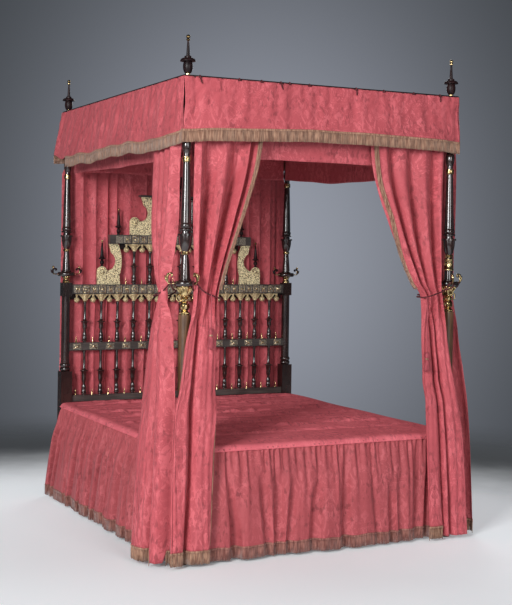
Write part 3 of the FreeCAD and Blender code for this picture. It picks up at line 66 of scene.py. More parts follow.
def make_camera():
    """Camera at the photograph's viewing angle."""
    forward = Vector((math.sin(VIEW_YAW), math.cos(VIEW_YAW), 0))
    level = Vector((math.cos(VIEW_YAW), -math.sin(VIEW_YAW), 0))
    up = Vector((0, 0, 1))
    right = level * math.cos(VIEW_ROLL) + up * math.sin(VIEW_ROLL)
    above = up * math.cos(VIEW_ROLL) - level * math.sin(VIEW_ROLL)
    data = bpy.data.cameras.new("camera")
    data.lens = 73.63
    data.sensor_width = 36
    data.shift_y = -0.0886
    data.clip_end = 200
    camera = new_object("camera", data)
    turn = Matrix((right, above, -forward)).transposed().to_4x4()
    camera.matrix_world = Matrix.Translation(CAMERA_PLACE) @ turn
    bpy.context.scene.camera = camera


# Materials

def add_node(tree, kind, inputs=(), **settings):
    """A new shader node with its settings, each given input linked or set to a value."""
    node = tree.nodes.new("ShaderNode" + kind)
    for key, value in settings.items():
        setattr(node, key, value)
    for key, value in dict(inputs).items():
        if isinstance(value, Field):
            value = value.socket
        if isinstance(value, bpy.types.NodeSocket):
            tree.links.new(value, node.inputs[key])
        else:
            node.inputs[key].default_value = value
    return node


class Field:
    """A value that varies over a surface, built up from math nodes."""

    def __init__(self, tree, socket):
        self.tree = tree
        self.socket = socket

    def math(self, operation, *others):
        node = add_node(self.tree, "Math", enumerate((self,) + others), operation=operation)
        return Field(self.tree, node.outputs[0])

    def __add__(self, other):
        return self.math("ADD", other)

    def __sub__(self, other):
        return self.math("SUBTRACT", other)

    def __mul__(self, other):
        return self.math("MULTIPLY", other)

    def __truediv__(self, other):
        return self.math("DIVIDE", other)

    def wave(self):
        return self.math("SINE")

    def step(self, low, high):
        """Rises smoothly from 0 to 1 between two values, or falls where the first is higher."""
        ends = (self, low, high, 0.0, 1.0) if low < high else (self, high, low, 1.0, 0.0)
        node = add_node(self.tree, "MapRange", enumerate(ends), interpolation_type="SMOOTHSTEP")
        return Field(self.tree, node.outputs[0])


class Finish:
    """A procedural material under construction."""

    def __init__(self, name, **constants):
        self.material = bpy.data.materials.new(name)
        self.material.use_nodes = True
        self.tree = self.material.node_tree
        self.shader = self.tree.nodes["Principled BSDF"]
        for key, value in constants.items():
            self.shader.inputs[key.replace("_", " ")].default_value = value

    def add(self, kind, inputs=(), **settings):
        return add_node(self.tree, kind, inputs, **settings).outputs

    def coordinates(self, kind="Object"):
        if kind == "cloth":
            return self.add("UVMap", uv_map="cloth")[0]
        return self.add("TexCoord")[kind]

    def axes(self, coordinates):
        return [Field(self.tree, output) for output in self.add("SeparateXYZ", {0: coordinates})]

    def stretched(self, coordinates, scale):
        return self.add("Mapping", {"Vector": coordinates, "Scale": scale})[0]

    def vector(self, x, y):
        return self.add("CombineXYZ", {0: x, 1: y})[0]

    def noise(self, coordinates, scale, detail=3.0, distortion=0.0):
        inputs = {"Vector": coordinates, "Scale": scale, "Detail": detail, "Distortion": distortion}
        return Field(self.tree, self.add("TexNoise", inputs)[0])

    def cells(self, coordinates, scale):
        inputs = {"Vector": coordinates, "Scale": scale}
        return Field(self.tree, self.add("TexVoronoi", inputs, feature="DISTANCE_TO_EDGE")[0])

    def mix(self, share, *colours):
        first, second = (colour if isinstance(colour, bpy.types.NodeSocket) else (*colour, 1)
                         for colour in colours)
        return self.add("Mix", {0: share, 6: first, 7: second}, data_type="RGBA")[2]

    def feed(self, name, value):
        """Link a field or socket to one of the shader's inputs."""
        self.tree.links.new(value.socket if isinstance(value, Field) else value, self.shader.inputs[name])

    def bump(self, height, distance, strength):
        outputs = self.add("Bump", {"Strength": strength, "Distance": distance, "Height": height})
        self.feed("Normal", outputs[0])


DAMASK_WIDTH = 0.25
DAMASK_DROP = 0.46
SILK_THREAD = 0.0016
LINEN_THREAD = 0.002


def darker(colour, share):
    return tuple(part * share for part in colour)


def damask(name, ground, figure, sheen=0.14, specular=0.25):
    """Silk damask: mirrored leaf scrolls in a half-drop repeat, tone on tone, on flat cloth coordinates."""
    finish = Finish(name, Sheen_Weight=sheen, Sheen_Roughness=0.4, Sheen_Tint=(0.95, 0.60, 0.62, 1),
                    Specular_IOR_Level=specular)
    cloth = finish.coordinates("cloth")
    u, v, _ = finish.axes(cloth)
    wobble = finish.noise(cloth, 5.0, 2.0) - 0.5
    x = u / DAMASK_WIDTH + wobble * 0.22
    y = v / DAMASK_DROP + x.math("FLOOR") * 0.5 + wobble * 0.12
    across = (x.math("FRACT") - 0.5) * DAMASK_WIDTH
    along = (y.math("FRACT") - 0.5) * DAMASK_DROP
    motif = finish.vector(across.math("ABSOLUTE"), along * 0.62)
    growth = finish.noise(motif, 19.0, 2.0, 2.4)
    leaves = growth.step(0.50, 0.535)
    veins = finish.noise(motif, 85.0, 1.0, 0.8).step(0.36, 0.50)
    stems = ((growth - 0.44).math("ABSOLUTE")).step(0.016, 0.007)
    worn = finish.noise(cloth, 4.0, 3.0).step(0.34, 0.60)
    pattern = (leaves * (veins * 0.7 + 0.3)).math("MAXIMUM", stems * 0.7) * (worn * 0.6 + 0.2)
    shade = finish.noise(cloth, 2.6, 3.0).step(0.35, 0.7)
    woven = finish.mix(pattern, finish.mix(shade, ground, darker(ground, 0.86)), figure)
    patches = finish.noise(cloth, 7.0, 2.0).step(0.42, 0.58)
    flecks = finish.noise(finish.stretched(cloth, (1, 0.45, 1)), 62.0, 2.0).step(0.54, 0.64) * patches * 0.65
    finish.feed("Base Color", finish.mix(flecks, woven, darker(ground, 0.50)))
    finish.feed("Roughness", pattern * -0.16 + 0.64)
    weave = (u * (TAU / SILK_THREAD)).wave() * (v * (TAU / SILK_THREAD)).wave()
    finish.bump(weave * 0.10 + pattern * 0.3 + finish.noise(cloth, 60.0, 4.0) * 0.5, 0.0012, 0.7)
    return finish.material


def silk(name, dark, pale, sheen=0.2):
    """Spun silk of fringe and cord: fine streaks of two tones."""
    finish = Finish(name, Sheen_Weight=sheen, Sheen_Roughness=0.4, Roughness=0.65, Specular_IOR_Level=0.2)
    place = finish.coordinates()
    streaks = finish.noise(finish.stretched(place, (1, 1, 0.12)), 160.0, 2.0)
    finish.feed("Base Color", finish.mix(streaks.step(0.3, 0.7), dark, pale))
    finish.bump(finish.noise(place, 640.0, 2.0), 0.0008, 0.5)
    return finish.material


def polished_wood(name, dark, pale, along, roughness, coat, specular=0.5):
    """Turned wood: grain drawn out along one axis, under a coat of polish."""
    finish = Finish(name, Coat_Weight=coat, Coat_Roughness=0.1, Specular_IOR_Level=specular)
    place = finish.coordinates()
    scale = tuple(0.06 if axis == along else 1.0 for axis in range(3))
    grain = finish.noise(finish.stretched(place, scale), 130.0, 4.0)
    wear = finish.noise(place, 9.0, 4.0)
    finish.feed("Base Color", finish.mix((grain * 0.6 + wear * 0.4).step(0.35, 0.72), dark, pale))
    finish.feed("Roughness", wear * 0.18 + (roughness - 0.06))
    finish.bump(grain, 0.0006, 0.35)
    return finish.material


def gilt(name, deep, bright, roughness):
    """Gilt brass with darker patina in its hollows and small tool marks."""
    finish = Finish(name, Metallic=1.0)
    place = finish.coordinates()
    patina = finish.noise(place, 55.0, 5.0)
    marks = finish.noise(place, 420.0, 2.0)
    finish.feed("Base Color", finish.mix(patina.step(0.36, 0.62), deep, bright))
    finish.feed("Roughness", patina * -0.2 + (roughness + 0.1))
    finish.bump(marks * 0.5 + patina * 0.5, 0.001, 0.6)
    return finish.material


def pierced_gilt(name, deep, bright, metallic, scale):
    """Gilt sheet with an engraved all-over tracery."""
    finish = Finish(name, Metallic=metallic)
    place = finish.coordinates()
    lines = finish.cells(place, scale).step(0.02, 0.08)
    tracery = lines * finish.noise(place, scale * 1.3, 1.0).step(0.36, 0.44)
    finish.feed("Base Color", finish.mix(tracery, deep, bright))
    finish.feed("Roughness", tracery * -0.2 + 0.55)
    finish.bump(tracery, 0.0012, 0.9)
    return finish.material


def ticking(name):
    """Striped mattress ticking."""
    finish = Finish(name, Roughness=0.85)
    place = finish.coordinates()
    x = finish.axes(place)[0]
    stripe = (x * (TAU / 0.03)).wave().step(0.2, 0.5) + (x * (TAU / 0.01)).wave().step(0.8, 0.9) * 0.4
    finish.feed("Base Color", finish.mix(stripe, (0.62, 0.57, 0.48), (0.16, 0.20, 0.28)))
    finish.bump(finish.noise(place, 900.0, 2.0), 0.0006, 0.5)
    return finish.material


def lining(name, tone):
    """Plain woven lining."""
    finish = Finish(name, Roughness=0.8, Sheen_Weight=0.15)
    place = finish.coordinates()
    x, y, z = finish.axes(place)
    weave = ((x + z) * (TAU / LINEN_THREAD)).wave() * ((y + z) * (TAU / LINEN_THREAD)).wave()
    stain = finish.noise(place, 4.0, 4.0).step(0.3, 0.7)
    finish.feed("Base Color", finish.mix(stain, tone, darker(tone, 0.8)))
    finish.bump(weave, 0.0006, 0.5)
    return finish.material


def steel(name):
    """Old steel with rusty spots."""
    finish = Finish(name, Metallic=1.0)
    place = finish.coordinates()
    rust = finish.noise(place, 70.0, 5.0)
    finish.feed("Base Color", finish.mix(rust.step(0.55, 0.75), (0.32, 0.31, 0.30), (0.12, 0.06, 0.035)))
    finish.feed("Roughness", rust * 0.3 + 0.3)
    finish.bump(finish.noise(place, 500.0, 2.0), 0.0004, 0.4)
    return finish.material


ROSE = damask("rose_damask", (0.46, 0.080, 0.096), (0.62, 0.134, 0.156))
# The coverlet's damask is a lighter copy of the rose damask: painted light on the coverlet's top, which the
# tester and curtains shade.
ROSE_TOP_PAINTED_LIGHT = damask("rose_coverlet_painted_light", (0.68, 0.146, 0.174), (0.76, 0.184, 0.212), 0.0, 0.0)
# The skirts' damask is a darker copy of the rose damask: painted shade on the low skirts.
ROSE_SKIRT_PAINTED_SHADE = damask("rose_skirt_painted_shade", (0.37, 0.068, 0.078), (0.49, 0.108, 0.122))
FRINGE = silk("fringe_silk", (0.20, 0.095, 0.062), (0.42, 0.245, 0.165))
# Skirt fringe: rosier than the curtains' fringe in its own colour, and darker as painted shade.
SKIRT_FRINGE_PAINTED_SHADE = silk("skirt_fringe_silk_painted_shade", (0.16, 0.055, 0.045), (0.34, 0.150, 0.120))
CORD = silk("cord_silk", (0.22, 0.036, 0.048), (0.40, 0.080, 0.098), 0.1)
TIE_SILK = silk("tie_silk", (0.050, 0.010, 0.012), (0.120, 0.024, 0.030), 0.02)
EBONY = polished_wood("ebonised_wood", (0.010, 0.006, 0.006), (0.040, 0.017, 0.014), 2, 0.22, 0.7)
DULL_EBONY = polished_wood("dull_ebony", (0.008, 0.005, 0.006), (0.030, 0.010, 0.010), 2, 0.36, 0.0, 0.18)
EBONY_RAIL = polished_wood("ebonised_rail", (0.034, 0.028, 0.026), (0.090, 0.076, 0.068), 0, 0.36, 0.4)
# A lighter brown copy of the near-black post wood: painted light on the lit foot posts.
POST_WOOD_PAINTED_LIGHT = polished_wood("post_wood_painted_light", (0.062, 0.028, 0.013), (0.205, 0.105, 0.052), 2, 0.34, 0.30)
FRAME_WOOD = polished_wood("frame_wood", (0.16, 0.085, 0.040), (0.28, 0.17, 0.09), 1, 0.6, 0.0)
BRASS = gilt("gilt_brass", (0.085, 0.050, 0.018), (0.80, 0.61, 0.31), 0.24)
OLD_GILT = gilt("old_gilt", (0.30, 0.22, 0.11), (0.86, 0.72, 0.46), 0.30)
PALE_GILT = pierced_gilt("pale_gilt", (0.10, 0.060, 0.026), (0.98, 0.86, 0.52), 0.05, 88.0)
PLATE_BRONZE = pierced_gilt("plate_bronze", (0.06, 0.05, 0.042), (0.36, 0.32, 0.25), 0.2, 110.0)
ARCADE_GILT = pierced_gilt("arcade_gilt", (0.20, 0.135, 0.060), (0.84, 0.69, 0.40), 0.25, 150.0)
STEEL = steel("old_steel")
TICKING = ticking("ticking")
LINING = lining("linen_lining", (0.42, 0.13, 0.12))

SLOT_FINISH = {"dark_wood": EBONY, "frame_wood": FRAME_WOOD, "gilt_brass": BRASS, "pale_gilt": PALE_GILT,
               "steel": STEEL, "damask": ROSE, "lining": LINING, "ticking": TICKING, "cord": CORD}
FINISHED_NODES = (
    (PLATE_BRONZE, ("rail_plaques",)),
    (ARCADE_GILT, ("rail_aprons", "headboard_pendants")),
    (EBONY_RAIL, ("headboard_lower_rail", "headboard_mid_rail", "headboard_top_rail",
                  "crest_rail", "crest_cap")),
    # The foot posts' lower shafts get the lighter brown copy as painted light; the head posts' same wood stays
    # near black.
    (POST_WOOD_PAINTED_LIGHT, ("post_lower_foot_left", "post_lower_foot_right")),
    (DULL_EBONY, ("finial_foot_left", "finial_foot_right", "finial_head_left", "finial_head_right",
                  "crest_finials", "tester_frame")),
)
NODE_FINISH = {node: finish for finish, nodes in FINISHED_NODES for node in nodes}


def dress_nodes():
    """Give each CAD node that stays its finish."""
    for entry in frame["record"]["subparts"]:
        finish = NODE_FINISH.get(entry["node"], SLOT_FINISH[entry["material_slot"]])
        for place in NODES[entry["node"]].material_slots:
            place.material = finish


# Mesh helpers

def add_piece(name, mesh, finish, body="root", rounded=True):
    if rounded:
        mesh.shade_smooth()
    mesh.materials.append(finish)
    piece = new_object(name, mesh)
    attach(piece, body)
    return piece


def add_blocks(name, blocks, finish, body="root", rounded=True):
    """One piece from several lists of points and faces."""
    points = []
    faces = []
    for spots, polygons in blocks:
        start = len(points)
        points.extend(spots)
        faces.extend(tuple(corner + start for corner in polygon) for polygon in polygons)
    mesh = bpy.data.meshes.new(name)
    mesh.from_pydata(points, [], faces)
    return add_piece(name, mesh, finish, body, rounded)


def combined(*axes):
    """Points from their coordinates."""
    return np.stack(np.broadcast_arrays(*axes), axis=-1)


def unit(vectors):
    return vectors / np.maximum(np.linalg.norm(vectors, axis=1, keepdims=True), 1e-9)


def circle(count):
    return np.linspace(0, TAU, count, endpoint=False)


def grid_mesh(name, points, flat, keep=None):
    """A sheet of quads through rows of points, or of those to keep, with flat cloth coordinates in metres."""
    rows, columns = points.shape[:2]
    index = np.arange(rows * columns).reshape(rows, columns)
    quads = np.stack([index[:-1, :-1], index[1:, :-1], index[1:, 1:], index[:-1, 1:]], axis=-1)
    used, quads = np.unique(quads if keep is None else quads[keep], return_inverse=True)
    mesh = bpy.data.meshes.new(name)
    mesh.from_pydata(points.reshape(-1, 3)[used].tolist(), [], quads.reshape(-1, 4).tolist())
    layer = mesh.uv_layers.new(name="cloth")
    corner = np.empty(len(mesh.loops), dtype=np.int32)
    mesh.loops.foreach_get("vertex_index", corner)
    layer.data.foreach_set("uv", flat.reshape(-1, 2)[used][corner].astype(np.float32).ravel())
    return mesh


def lengths(points):
    """Length of the cloth across, row by row."""
    return np.linalg.norm(np.diff(points, axis=1), axis=2).sum(axis=1)


def thicken(piece, thickness, offset):
    solid = piece.modifiers.new("thickness", "SOLIDIFY")
    solid.thickness = thickness
    solid.offset = offset


def sheet(name, points, finish, replaced):
    """A sheet of cloth through rows of points, its flat cloth coordinates in metres from its width and drop.
    """
    width = float(np.mean(lengths(points)))
    drop = float(np.median(lengths(points.transpose(1, 0, 2))))
    share = np.linspace(0, 1, points.shape[1])[None, :]
    fall = np.linspace(0, 1, points.shape[0])[:, None]
    piece = add_piece(name, grid_mesh(name, points, combined(share * width, fall * drop)), finish)
    thicken(piece, 0.002, 0)
    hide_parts(replaced)


def smooth(heights, values, at):
    """Values at given heights, run smoothly through a table without overshoot."""
    order = np.argsort(heights)
    x = np.asarray(heights, float)[order]
    y = np.asarray(values, float)[order]
    slope = np.diff(y) / np.diff(x)
    same = slope[:-1] * slope[1:] > 0
    middle = np.where(same, 2 * slope[:-1] * slope[1:] / np.where(same, slope[:-1] + slope[1:], 1), 0)
    tangent = np.concatenate([slope[:1], middle, slope[-1:]])
    spot = np.clip(np.searchsorted(x, at) - 1, 0, len(x) - 2)
    step = x[spot + 1] - x[spot]
    t = np.clip((at - x[spot]) / step, 0, 1)
    return (y[spot] * (1 + 2 * t) * (1 - t) ** 2 + tangent[spot] * step * t * (1 - t) ** 2
            + y[spot + 1] * t * t * (3 - 2 * t) + tangent[spot + 1] * step * t * t * (t - 1))


def ramp(value, low, high):
    """Rises smoothly from 0 to 1 between two values."""
    t = np.clip((value - low) / (high - low), 0, 1)
    return t * t * (3 - 2 * t)


def wander(rng, value, spans):
    """A slow irregular swing between about -1 and 1."""
    total = 0
    for span in spans:
        total = total + np.sin(value * TAU / span + rng.uniform(0, TAU))
    return total / len(spans)


def spaced(edge, pitch, carried=None):
    """Points a pitch apart along a polyline, or what its points carry there."""
    run = np.concatenate([[0], np.cumsum(np.linalg.norm(np.diff(edge, axis=0), axis=1))])
    at = np.linspace(0, run[-1], max(int(run[-1] / pitch), 2))
    values = edge if carried is None else carried
    return np.stack([np.interp(at, run, values[:, axis]) for axis in range(3)], axis=1)


def loft_block(rings):
    """Points and faces of a closed form through rings with the same number of points, capped at both ends."""
    points = np.concatenate(rings)
    count = len(rings[0])
    last = len(points) - count
    faces = []
    for base in range(0, last, count):
        for k in range(count):
            following = (k + 1) % count
            faces.append((base + k, base + following, base + count + following, base + count + k))
    faces.append(tuple(range(count))[::-1])
    faces.append(tuple(range(last, last + count)))
    return points.tolist(), faces


def carried_frames(centre):
    """Two directions across a line at each of its points, without twist."""
    tangent = unit(np.gradient(centre, axis=0))
    side = np.cross(tangent[0], (0.31, 0.52, 0.79))
    frames = []
    for direction in tangent:
        side = side - direction * np.dot(side, direction)
        side = side / np.linalg.norm(side)
        frames.append((side, np.cross(direction, side)))
    return frames


def sweep(path, radii, sides=8, refine=6):
    """A bar along a smooth path, its thickness running through the given radii."""
    path = np.asarray(path, float)
    station = np.arange(len(path))
    at = np.linspace(0, len(path) - 1, (len(path) - 1) * refine + 1)
    centre = np.stack([smooth(station, path[:, axis], at) for axis in range(3)], axis=1)
    width = np.interp(at, station, radii)
    turn = circle(sides)
    rings = [spot + first * (radius * np.cos(turn))[:, None] + second * (radius * np.sin(turn))[:, None]
             for spot, radius, (first, second) in zip(centre, width, carried_frames(centre))]
    return loft_block(rings)


def bar(start, end, radius):
    return sweep([start, end], (radius, radius), 4, 1)


def turned(profile, at, segments=20, ribs=0, rib=0.0):
    """A turned form through rising radii and heights; ribs run down it like threads."""
    turn = circle(segments)
    rings = []
    for radius, z in profile:
        swell = radius * (1 + rib * np.cos(ribs * turn))
        rings.append(combined(swell * np.cos(turn), swell * np.sin(turn), z) + np.asarray(at))
    return loft_block(rings)


def ball(centre, radius):
    """A bead, a little flattened at its poles where it is pierced."""
    angles = np.linspace(0.16, math.pi - 0.16, 8)
    return turned([(radius * math.sin(angle), -radius * math.cos(angle)) for angle in angles], centre, 12)


def spokes(post, angle, table, tall=1.0):
    """Points out from a post in one direction, from their reach and height."""
    arm = np.array([math.cos(angle), math.sin(angle), 0])
    return [np.asarray(post) + arm * out + np.array([0, 0, rise * tall]) for out, rise in table]


FRINGE_PITCH = 0.0036
STRAND_RINGS = ((0.0, 0.0017), (0.5, 0.0020), (1.0, 0.0016))


def fringe(name, edge, depth, seed, fall=(0, 0, -1), header=0.010, finish=FRINGE):
    """A woven heading along an edge, with a row of hanging strands."""
    rng = np.random.default_rng(seed)
    edge = np.asarray(edge, float)
    spots = spaced(edge, FRINGE_PITCH)
    count = len(spots)
    fall = unit(spaced(edge, FRINGE_PITCH, np.broadcast_to(np.asarray(fall, float), edge.shape)))
    tangent = unit(np.gradient(spots, axis=0))
    face = unit(np.cross(tangent, fall))
    rib = (0.0030 + 0.0005 * (np.arange(count) % 2))[:, None]
    band = np.stack([spots + fall * header / 2 * down + face * rib * out
                     for down, out in ((-1, -1), (1, -1), (1, 1), (-1, 1))], axis=1)
    reach = depth * (1 + rng.uniform(-0.04, 0.02, count))[:, None]
    sway = (wander(rng, np.arange(count) * FRINGE_PITCH, (0.05, 0.11, 0.23)) * 0.0014)[:, None]
    jitter = rng.normal(0, 0.0006, (count, 1))
    rings = []
    for share, radius in STRAND_RINGS:
        centre = spots + fall * reach * share + face * (sway * share) + tangent * (jitter * share)
        rings.append(np.stack([centre + face * radius * 1.3,
                               centre - face * radius * 0.8 + tangent * radius * 1.2,
                               centre - face * radius * 0.8 - tangent * radius * 1.2], axis=1))
    strands = [loft_block(strand) for strand in np.stack(rings, axis=1)]
    return add_blocks(name, [loft_block(band)] + strands, finish)


# Curtains: heights, then X and Y of the edge by the post and of the leading edge, and half the folds' depth

LEVELS = (2.337, 2.000, 1.700, 1.400, 1.318, 1.130, 0.880, 0.740, 0.560, 0.025)
FOOT_NEAR_Y = (-0.968, -0.968, -0.978, -1.005, -1.005, -1.002, -1.030, -1.037, -1.037, -1.037)
FOOT_FAR_Y = (-0.968, -0.968, -0.978, -1.005, -1.005, -0.996, -0.996, -1.037, -1.037, -1.037)
FOOT_DEPTH = (0.025, 0.025, 0.032, 0.030, 0.030, 0.030, 0.030, 0.029, 0.029, 0.031)
FOOT_NEAR = {
    -1: (-0.748, -0.748, -0.754, -0.754, -0.755, -0.797, -0.847, -0.874, -0.878, -0.885),
    1: (0.745, 0.738, 0.724, 0.706, 0.714, 0.738, 0.768, 0.794, 0.826, 0.870),
}
FOOT_FAR = {
    -1: (-0.370, -0.415, -0.510, -0.616, -0.630, -0.638, -0.645, -0.647, -0.656, -0.672),
    1: (0.255, 0.292, 0.395, 0.530, 0.588, 0.584, 0.598, 0.592, 0.600, 0.630),
}
SIDE_NEAR = {
    -1: ((0.800, 0.825, 0.835, 0.862, 0.862, 0.872, 0.875, 0.880, 0.885, 0.900),
         (-0.927, -0.927, -0.924, -0.904, -0.904, -0.945, -0.985, -1.000, -1.005, -1.010)),
    1: ((0.800, 0.835, 0.828, 0.840, 0.845, 0.846, 0.865, 0.877, 0.889, 0.915),
        (-0.927, -0.927, -0.924, -0.904, -0.904, -0.932, -0.962, -0.976, -0.980, -0.984)),
}
SIDE_FAR = ((0.786, 0.800, 0.800, 0.800, 0.805, 0.835, 0.870, 0.885, 0.910, 0.965),
            (-0.560, -0.585, -0.595, -0.668, -0.716, -0.706, -0.713, -0.723, -0.738, -0.798))
SIDE_DEPTH = (0.025, 0.025, 0.032, 0.030, 0.030, 0.034, 0.036, 0.038, 0.040, 0.044)
TIE_Z = 1.33
HEM_Z = 0.078
FRINGE_DEPTH = 0.062

# Folds across the cloth, counted in half waves from its near edge, above the tie and below it; how sharp
# their creases are and how far they lean there; and how much deeper the creases above the tie are

FOLDS = {
    "curtain_foot_left": (
        ((0, -0.3), (0.09, 0), (0.26, 1), (0.49, 2), (0.72, 3), (0.86, 4), (0.925, 5), (1, 5.9)),
        ((0, -0.15), (0.20, 0), (0.41, 1), (0.72, 2), (1, 2.5)),
        (0.66, 1.7), (0.15, 0.60), 1.5),
    "curtain_foot_right": (
        ((0, -0.4), (0.06, 0), (0.13, 1), (0.31, 2), (0.47, 3), (0.63, 4), (0.74, 5), (0.86, 6), (1, 6.5)),
        ((0, -0.3), (0.22, 0), (0.45, 1), (0.53, 2), (0.61, 3), (0.81, 4), (1, 4.4)),
        (0.90, 1.5), (0.35, 0.60), 0.4),
    "curtain_side_left": (
        ((0, -1), (0.10, 0), (0.21, 1), (0.33, 2), (0.46, 3), (0.57, 4), (0.70, 5), (0.84, 6), (1, 6.6)),
        ((0, -1), (0.20, 0), (0.40, 1), (0.70, 2), (1, 2.6)),
        (1.2, 1.9), (0.50, 0.60), 0.0),
    "curtain_side_right": (
        ((0, 0), (0.11, 0.9), (0.24, 2), (0.38, 3), (0.49, 4), (0.64, 5), (0.77, 6), (0.88, 7), (1, 7.5)),
        ((0, 0), (0.24, 1), (0.46, 2), (0.66, 3), (0.80, 4), (1, 4.7)),
        (1.2, 1.9), (0.50, 0.60), 0.0),
}


def curtain(name, near, far, depth, outward, seed, hems, edgings=()):
    """A tied curtain: lobes and creases between them, gathered to a waist at its tie."""
    rng = np.random.default_rng(seed)
    z = np.concatenate([np.linspace(LEVELS[0], 1.5, 46), np.linspace(1.5, 1.15, 44)[1:],
                        np.linspace(1.15, HEM_Z, 60)[1:]])
    s = np.linspace(0, 1, 241)
    near = np.stack([smooth(LEVELS, row, z) for row in near], axis=1)
    reach = np.stack([smooth(LEVELS, row, z) for row in far], axis=1) - near
    half = smooth(LEVELS, depth, z)[:, None]
    normal = np.stack([reach[:, 1], -reach[:, 0]], axis=1)
    normal = unit(normal * np.sign(normal @ np.array(outward, float))[:, None])
    low = ramp(z, 1.34, 1.12)[:, None]
    pinch = np.exp(-((z - TIE_Z) / 0.070) ** 2)[:, None]
    ends = np.sin(s * math.pi)[None, :]
    drift = ends * 0.24 * wander(rng, z[:, None] + 0.3 * s[None, :], (1.1, 1.9))
    upper, lower, sharps, tilts, hollow = FOLDS[name]
    folds = []
    leans = []
    for knots, sharp, tilt in zip((upper, lower), sharps, tilts):
        phase = math.pi * (smooth(*np.array(knots, float).T, s)[None, :] + drift)
        folds.append(1 - 2 * ((1 - np.cos(phase)) / 2) ** sharp)
        leans.append(tilt * np.sin(phase) / np.maximum(np.gradient(phase, s, axis=1), 4.0))
    pleat = np.cos(TAU * smooth(*np.array(upper, float).T, s))[None, :]
    fold = (folds[0] * (1 - low) + folds[1] * low) * (1 - 0.6 * pinch) + 0.35 * pinch * pleat
    chest = (ramp(z, 1.42, 1.56) * ramp(z, 2.005, 1.90))[:, None]
    fold = fold + hollow * chest * np.minimum(fold, 0) * ends
    lean = (leans[0] * (1 - low) + leans[1] * low) * (1 - 0.7 * pinch) * np.minimum(1, 10 * s * (1 - s))
    minor = wander(rng, s[None, :] * 7 + 0.5 * z[:, None], (0.62, 0.97)) * (1 - pinch) * 0.0022
    crease = wander(rng, s[None, :] * 5 + z[:, None] * 1.3, (0.9, 1.7))
    crease = crease * wander(rng, z, (0.21, 0.34))[:, None]
    share = (s[None, :] + lean)[..., None]
    out = (half * 0.96 * fold + crease * 0.002 + minor)[..., None]
    flat = near[:, None, :] + reach[:, None, :] * share + normal[:, None, :] * out
    fringed = sum(ramp(s, start - 0.03, start + 0.01) * ramp(s, end + 0.03, end - 0.01)
                  for start, end in hems)
    fall = ramp(z, 0.35, HEM_Z)[:, None] * (1 - np.clip(fringed, 0, 1))[None, :] * (FRINGE_DEPTH - 0.008)
    points = np.concatenate([flat, (z[:, None] - fall)[..., None]], axis=-1)
    last = len(s) - 1
    for number, (start, end) in enumerate(hems):
        columns = slice(int(start * last), int(end * last) + 1)
        label = "%s_hem_fringe_%d" % (name, number)
        fringe(label, points[-1, columns], FRINGE_DEPTH, seed + number)
    for number, edging in enumerate(edgings):
        edge_fringe("%s_edge_fringe_%d" % (name, number), points, normal, z, edging, seed + 9)
    sheet(name + "_cloth", points, ROSE, name)


def edge_fringe(name, points, normal, z, edging, seed):
    """Narrow fringe sewn along a curtain's leading edge, some way in from it towards the top."""
    inset, lowest, highest, depth = edging
    rows = [row for row in range(6, len(z) - 1) if lowest < z[row] < highest]
    last = points.shape[1] - 1
    columns = [last - int(round(inset * last * ramp(z[row], 1.45, 1.75))) for row in rows]
    lift = np.concatenate([normal, np.zeros((len(z), 1))], axis=1) * 0.005
    edge = np.array([points[row, column] + lift[row] for row, column in zip(rows, columns)])
    across = np.array([points[row, column] - points[row, column - 6] for row, column in zip(rows, columns)])
    return fringe(name, edge, depth, seed, across, 0.006)


def foot_curtain(name, side, seed, hems, edgings):
    near = (FOOT_NEAR[side], FOOT_NEAR_Y)
    far = (FOOT_FAR[side], FOOT_FAR_Y)
    curtain("curtain_foot_" + name, near, far, FOOT_DEPTH, (0, -1), seed, hems, edgings)


def side_curtain(name, side, seed, hems):
    near, far = ((tuple(side * x for x in xs), ys) for xs, ys in (SIDE_NEAR[side], SIDE_FAR))
    curtain("curtain_side_" + name, near, far, SIDE_DEPTH, (side, 0), seed, hems)


def make_curtains():
    foot_curtain("left", -1, 11, ((0.0, 1.0),), ((0.0, 1.36, 2.4, 0.022), (0.0, 0.1, 0.75, 0.012)))
    foot_curtain("right", 1, 12, ((0.70, 1.0),), ((0.09, 1.36, 2.4, 0.022),))
    side_curtain("left", -1, 13, ((0.0, 0.05), (0.25, 1.0)))
    side_curtain("right", 1, 14, ((0.0, 1.0),))


HEAD_HALF = 0.734
HEAD_PAST_POSTS = 0.068
HEAD_FOLDS = 19


def head_curtain():
    """Gathered cloth nailed under the tester, hung behind the headboard, its lower ends behind the posts."""
    rng = np.random.default_rng(21)
    z = np.linspace(2.383, 0.432, 90)[:, None]
    s = np.linspace(0, 1, 361)[None, :]
    base = smooth([2.385, 1.96, 1.2, 0.43], [0.972, 1.004, 1.004, 1.004], z)
    phase = TAU * HEAD_FOLDS * s + np.sin(s * math.pi) * (4.2 * wander(rng, s, (0.17, 0.31, 0.7))
                                                          + 0.9 * wander(rng, z + s, (0.9, 1.6)))
    deep = 0.0078 * (1 + 0.45 * wander(rng, s, (0.09, 0.23)) + 0.25 * wander(rng, z + s * 2, (0.7, 1.3)))
    y = base + deep * np.cos(phase) * smooth([2.385, 2.1, 0.43], [0.75, 1.0, 1.15], z)
    wide = ramp(z, 2.16, 2.02)
    x = (2 * s - 1 + 0.2 * np.sin(phase) / HEAD_FOLDS) * (HEAD_HALF + HEAD_PAST_POSTS * wide)
    behind = ramp(np.abs(x), 0.712, 0.740) * wide
    y = y + behind * (1.033 + 0.4 * (y - base) - y)
    sheet("head_curtain_cloth", combined(x, y, z), ROSE, "head_curtain")


# Valances

def around(side, run, distance, z):
    """Points on one side of the bed: along it, out from the middle, and up."""
    x, y = {"foot": (run, -distance), "right": (distance, run), "head": (-run, distance),
            "left": (-distance, -run)}[side]
    return combined(x, y, z)


def cloth_grid(rows, columns):
    """How far down the cloth its rows are, and across it, from -1 to 1, its columns."""
    return np.linspace(0, 1, rows)[:, None], np.linspace(-1, 1, columns)[None, :]


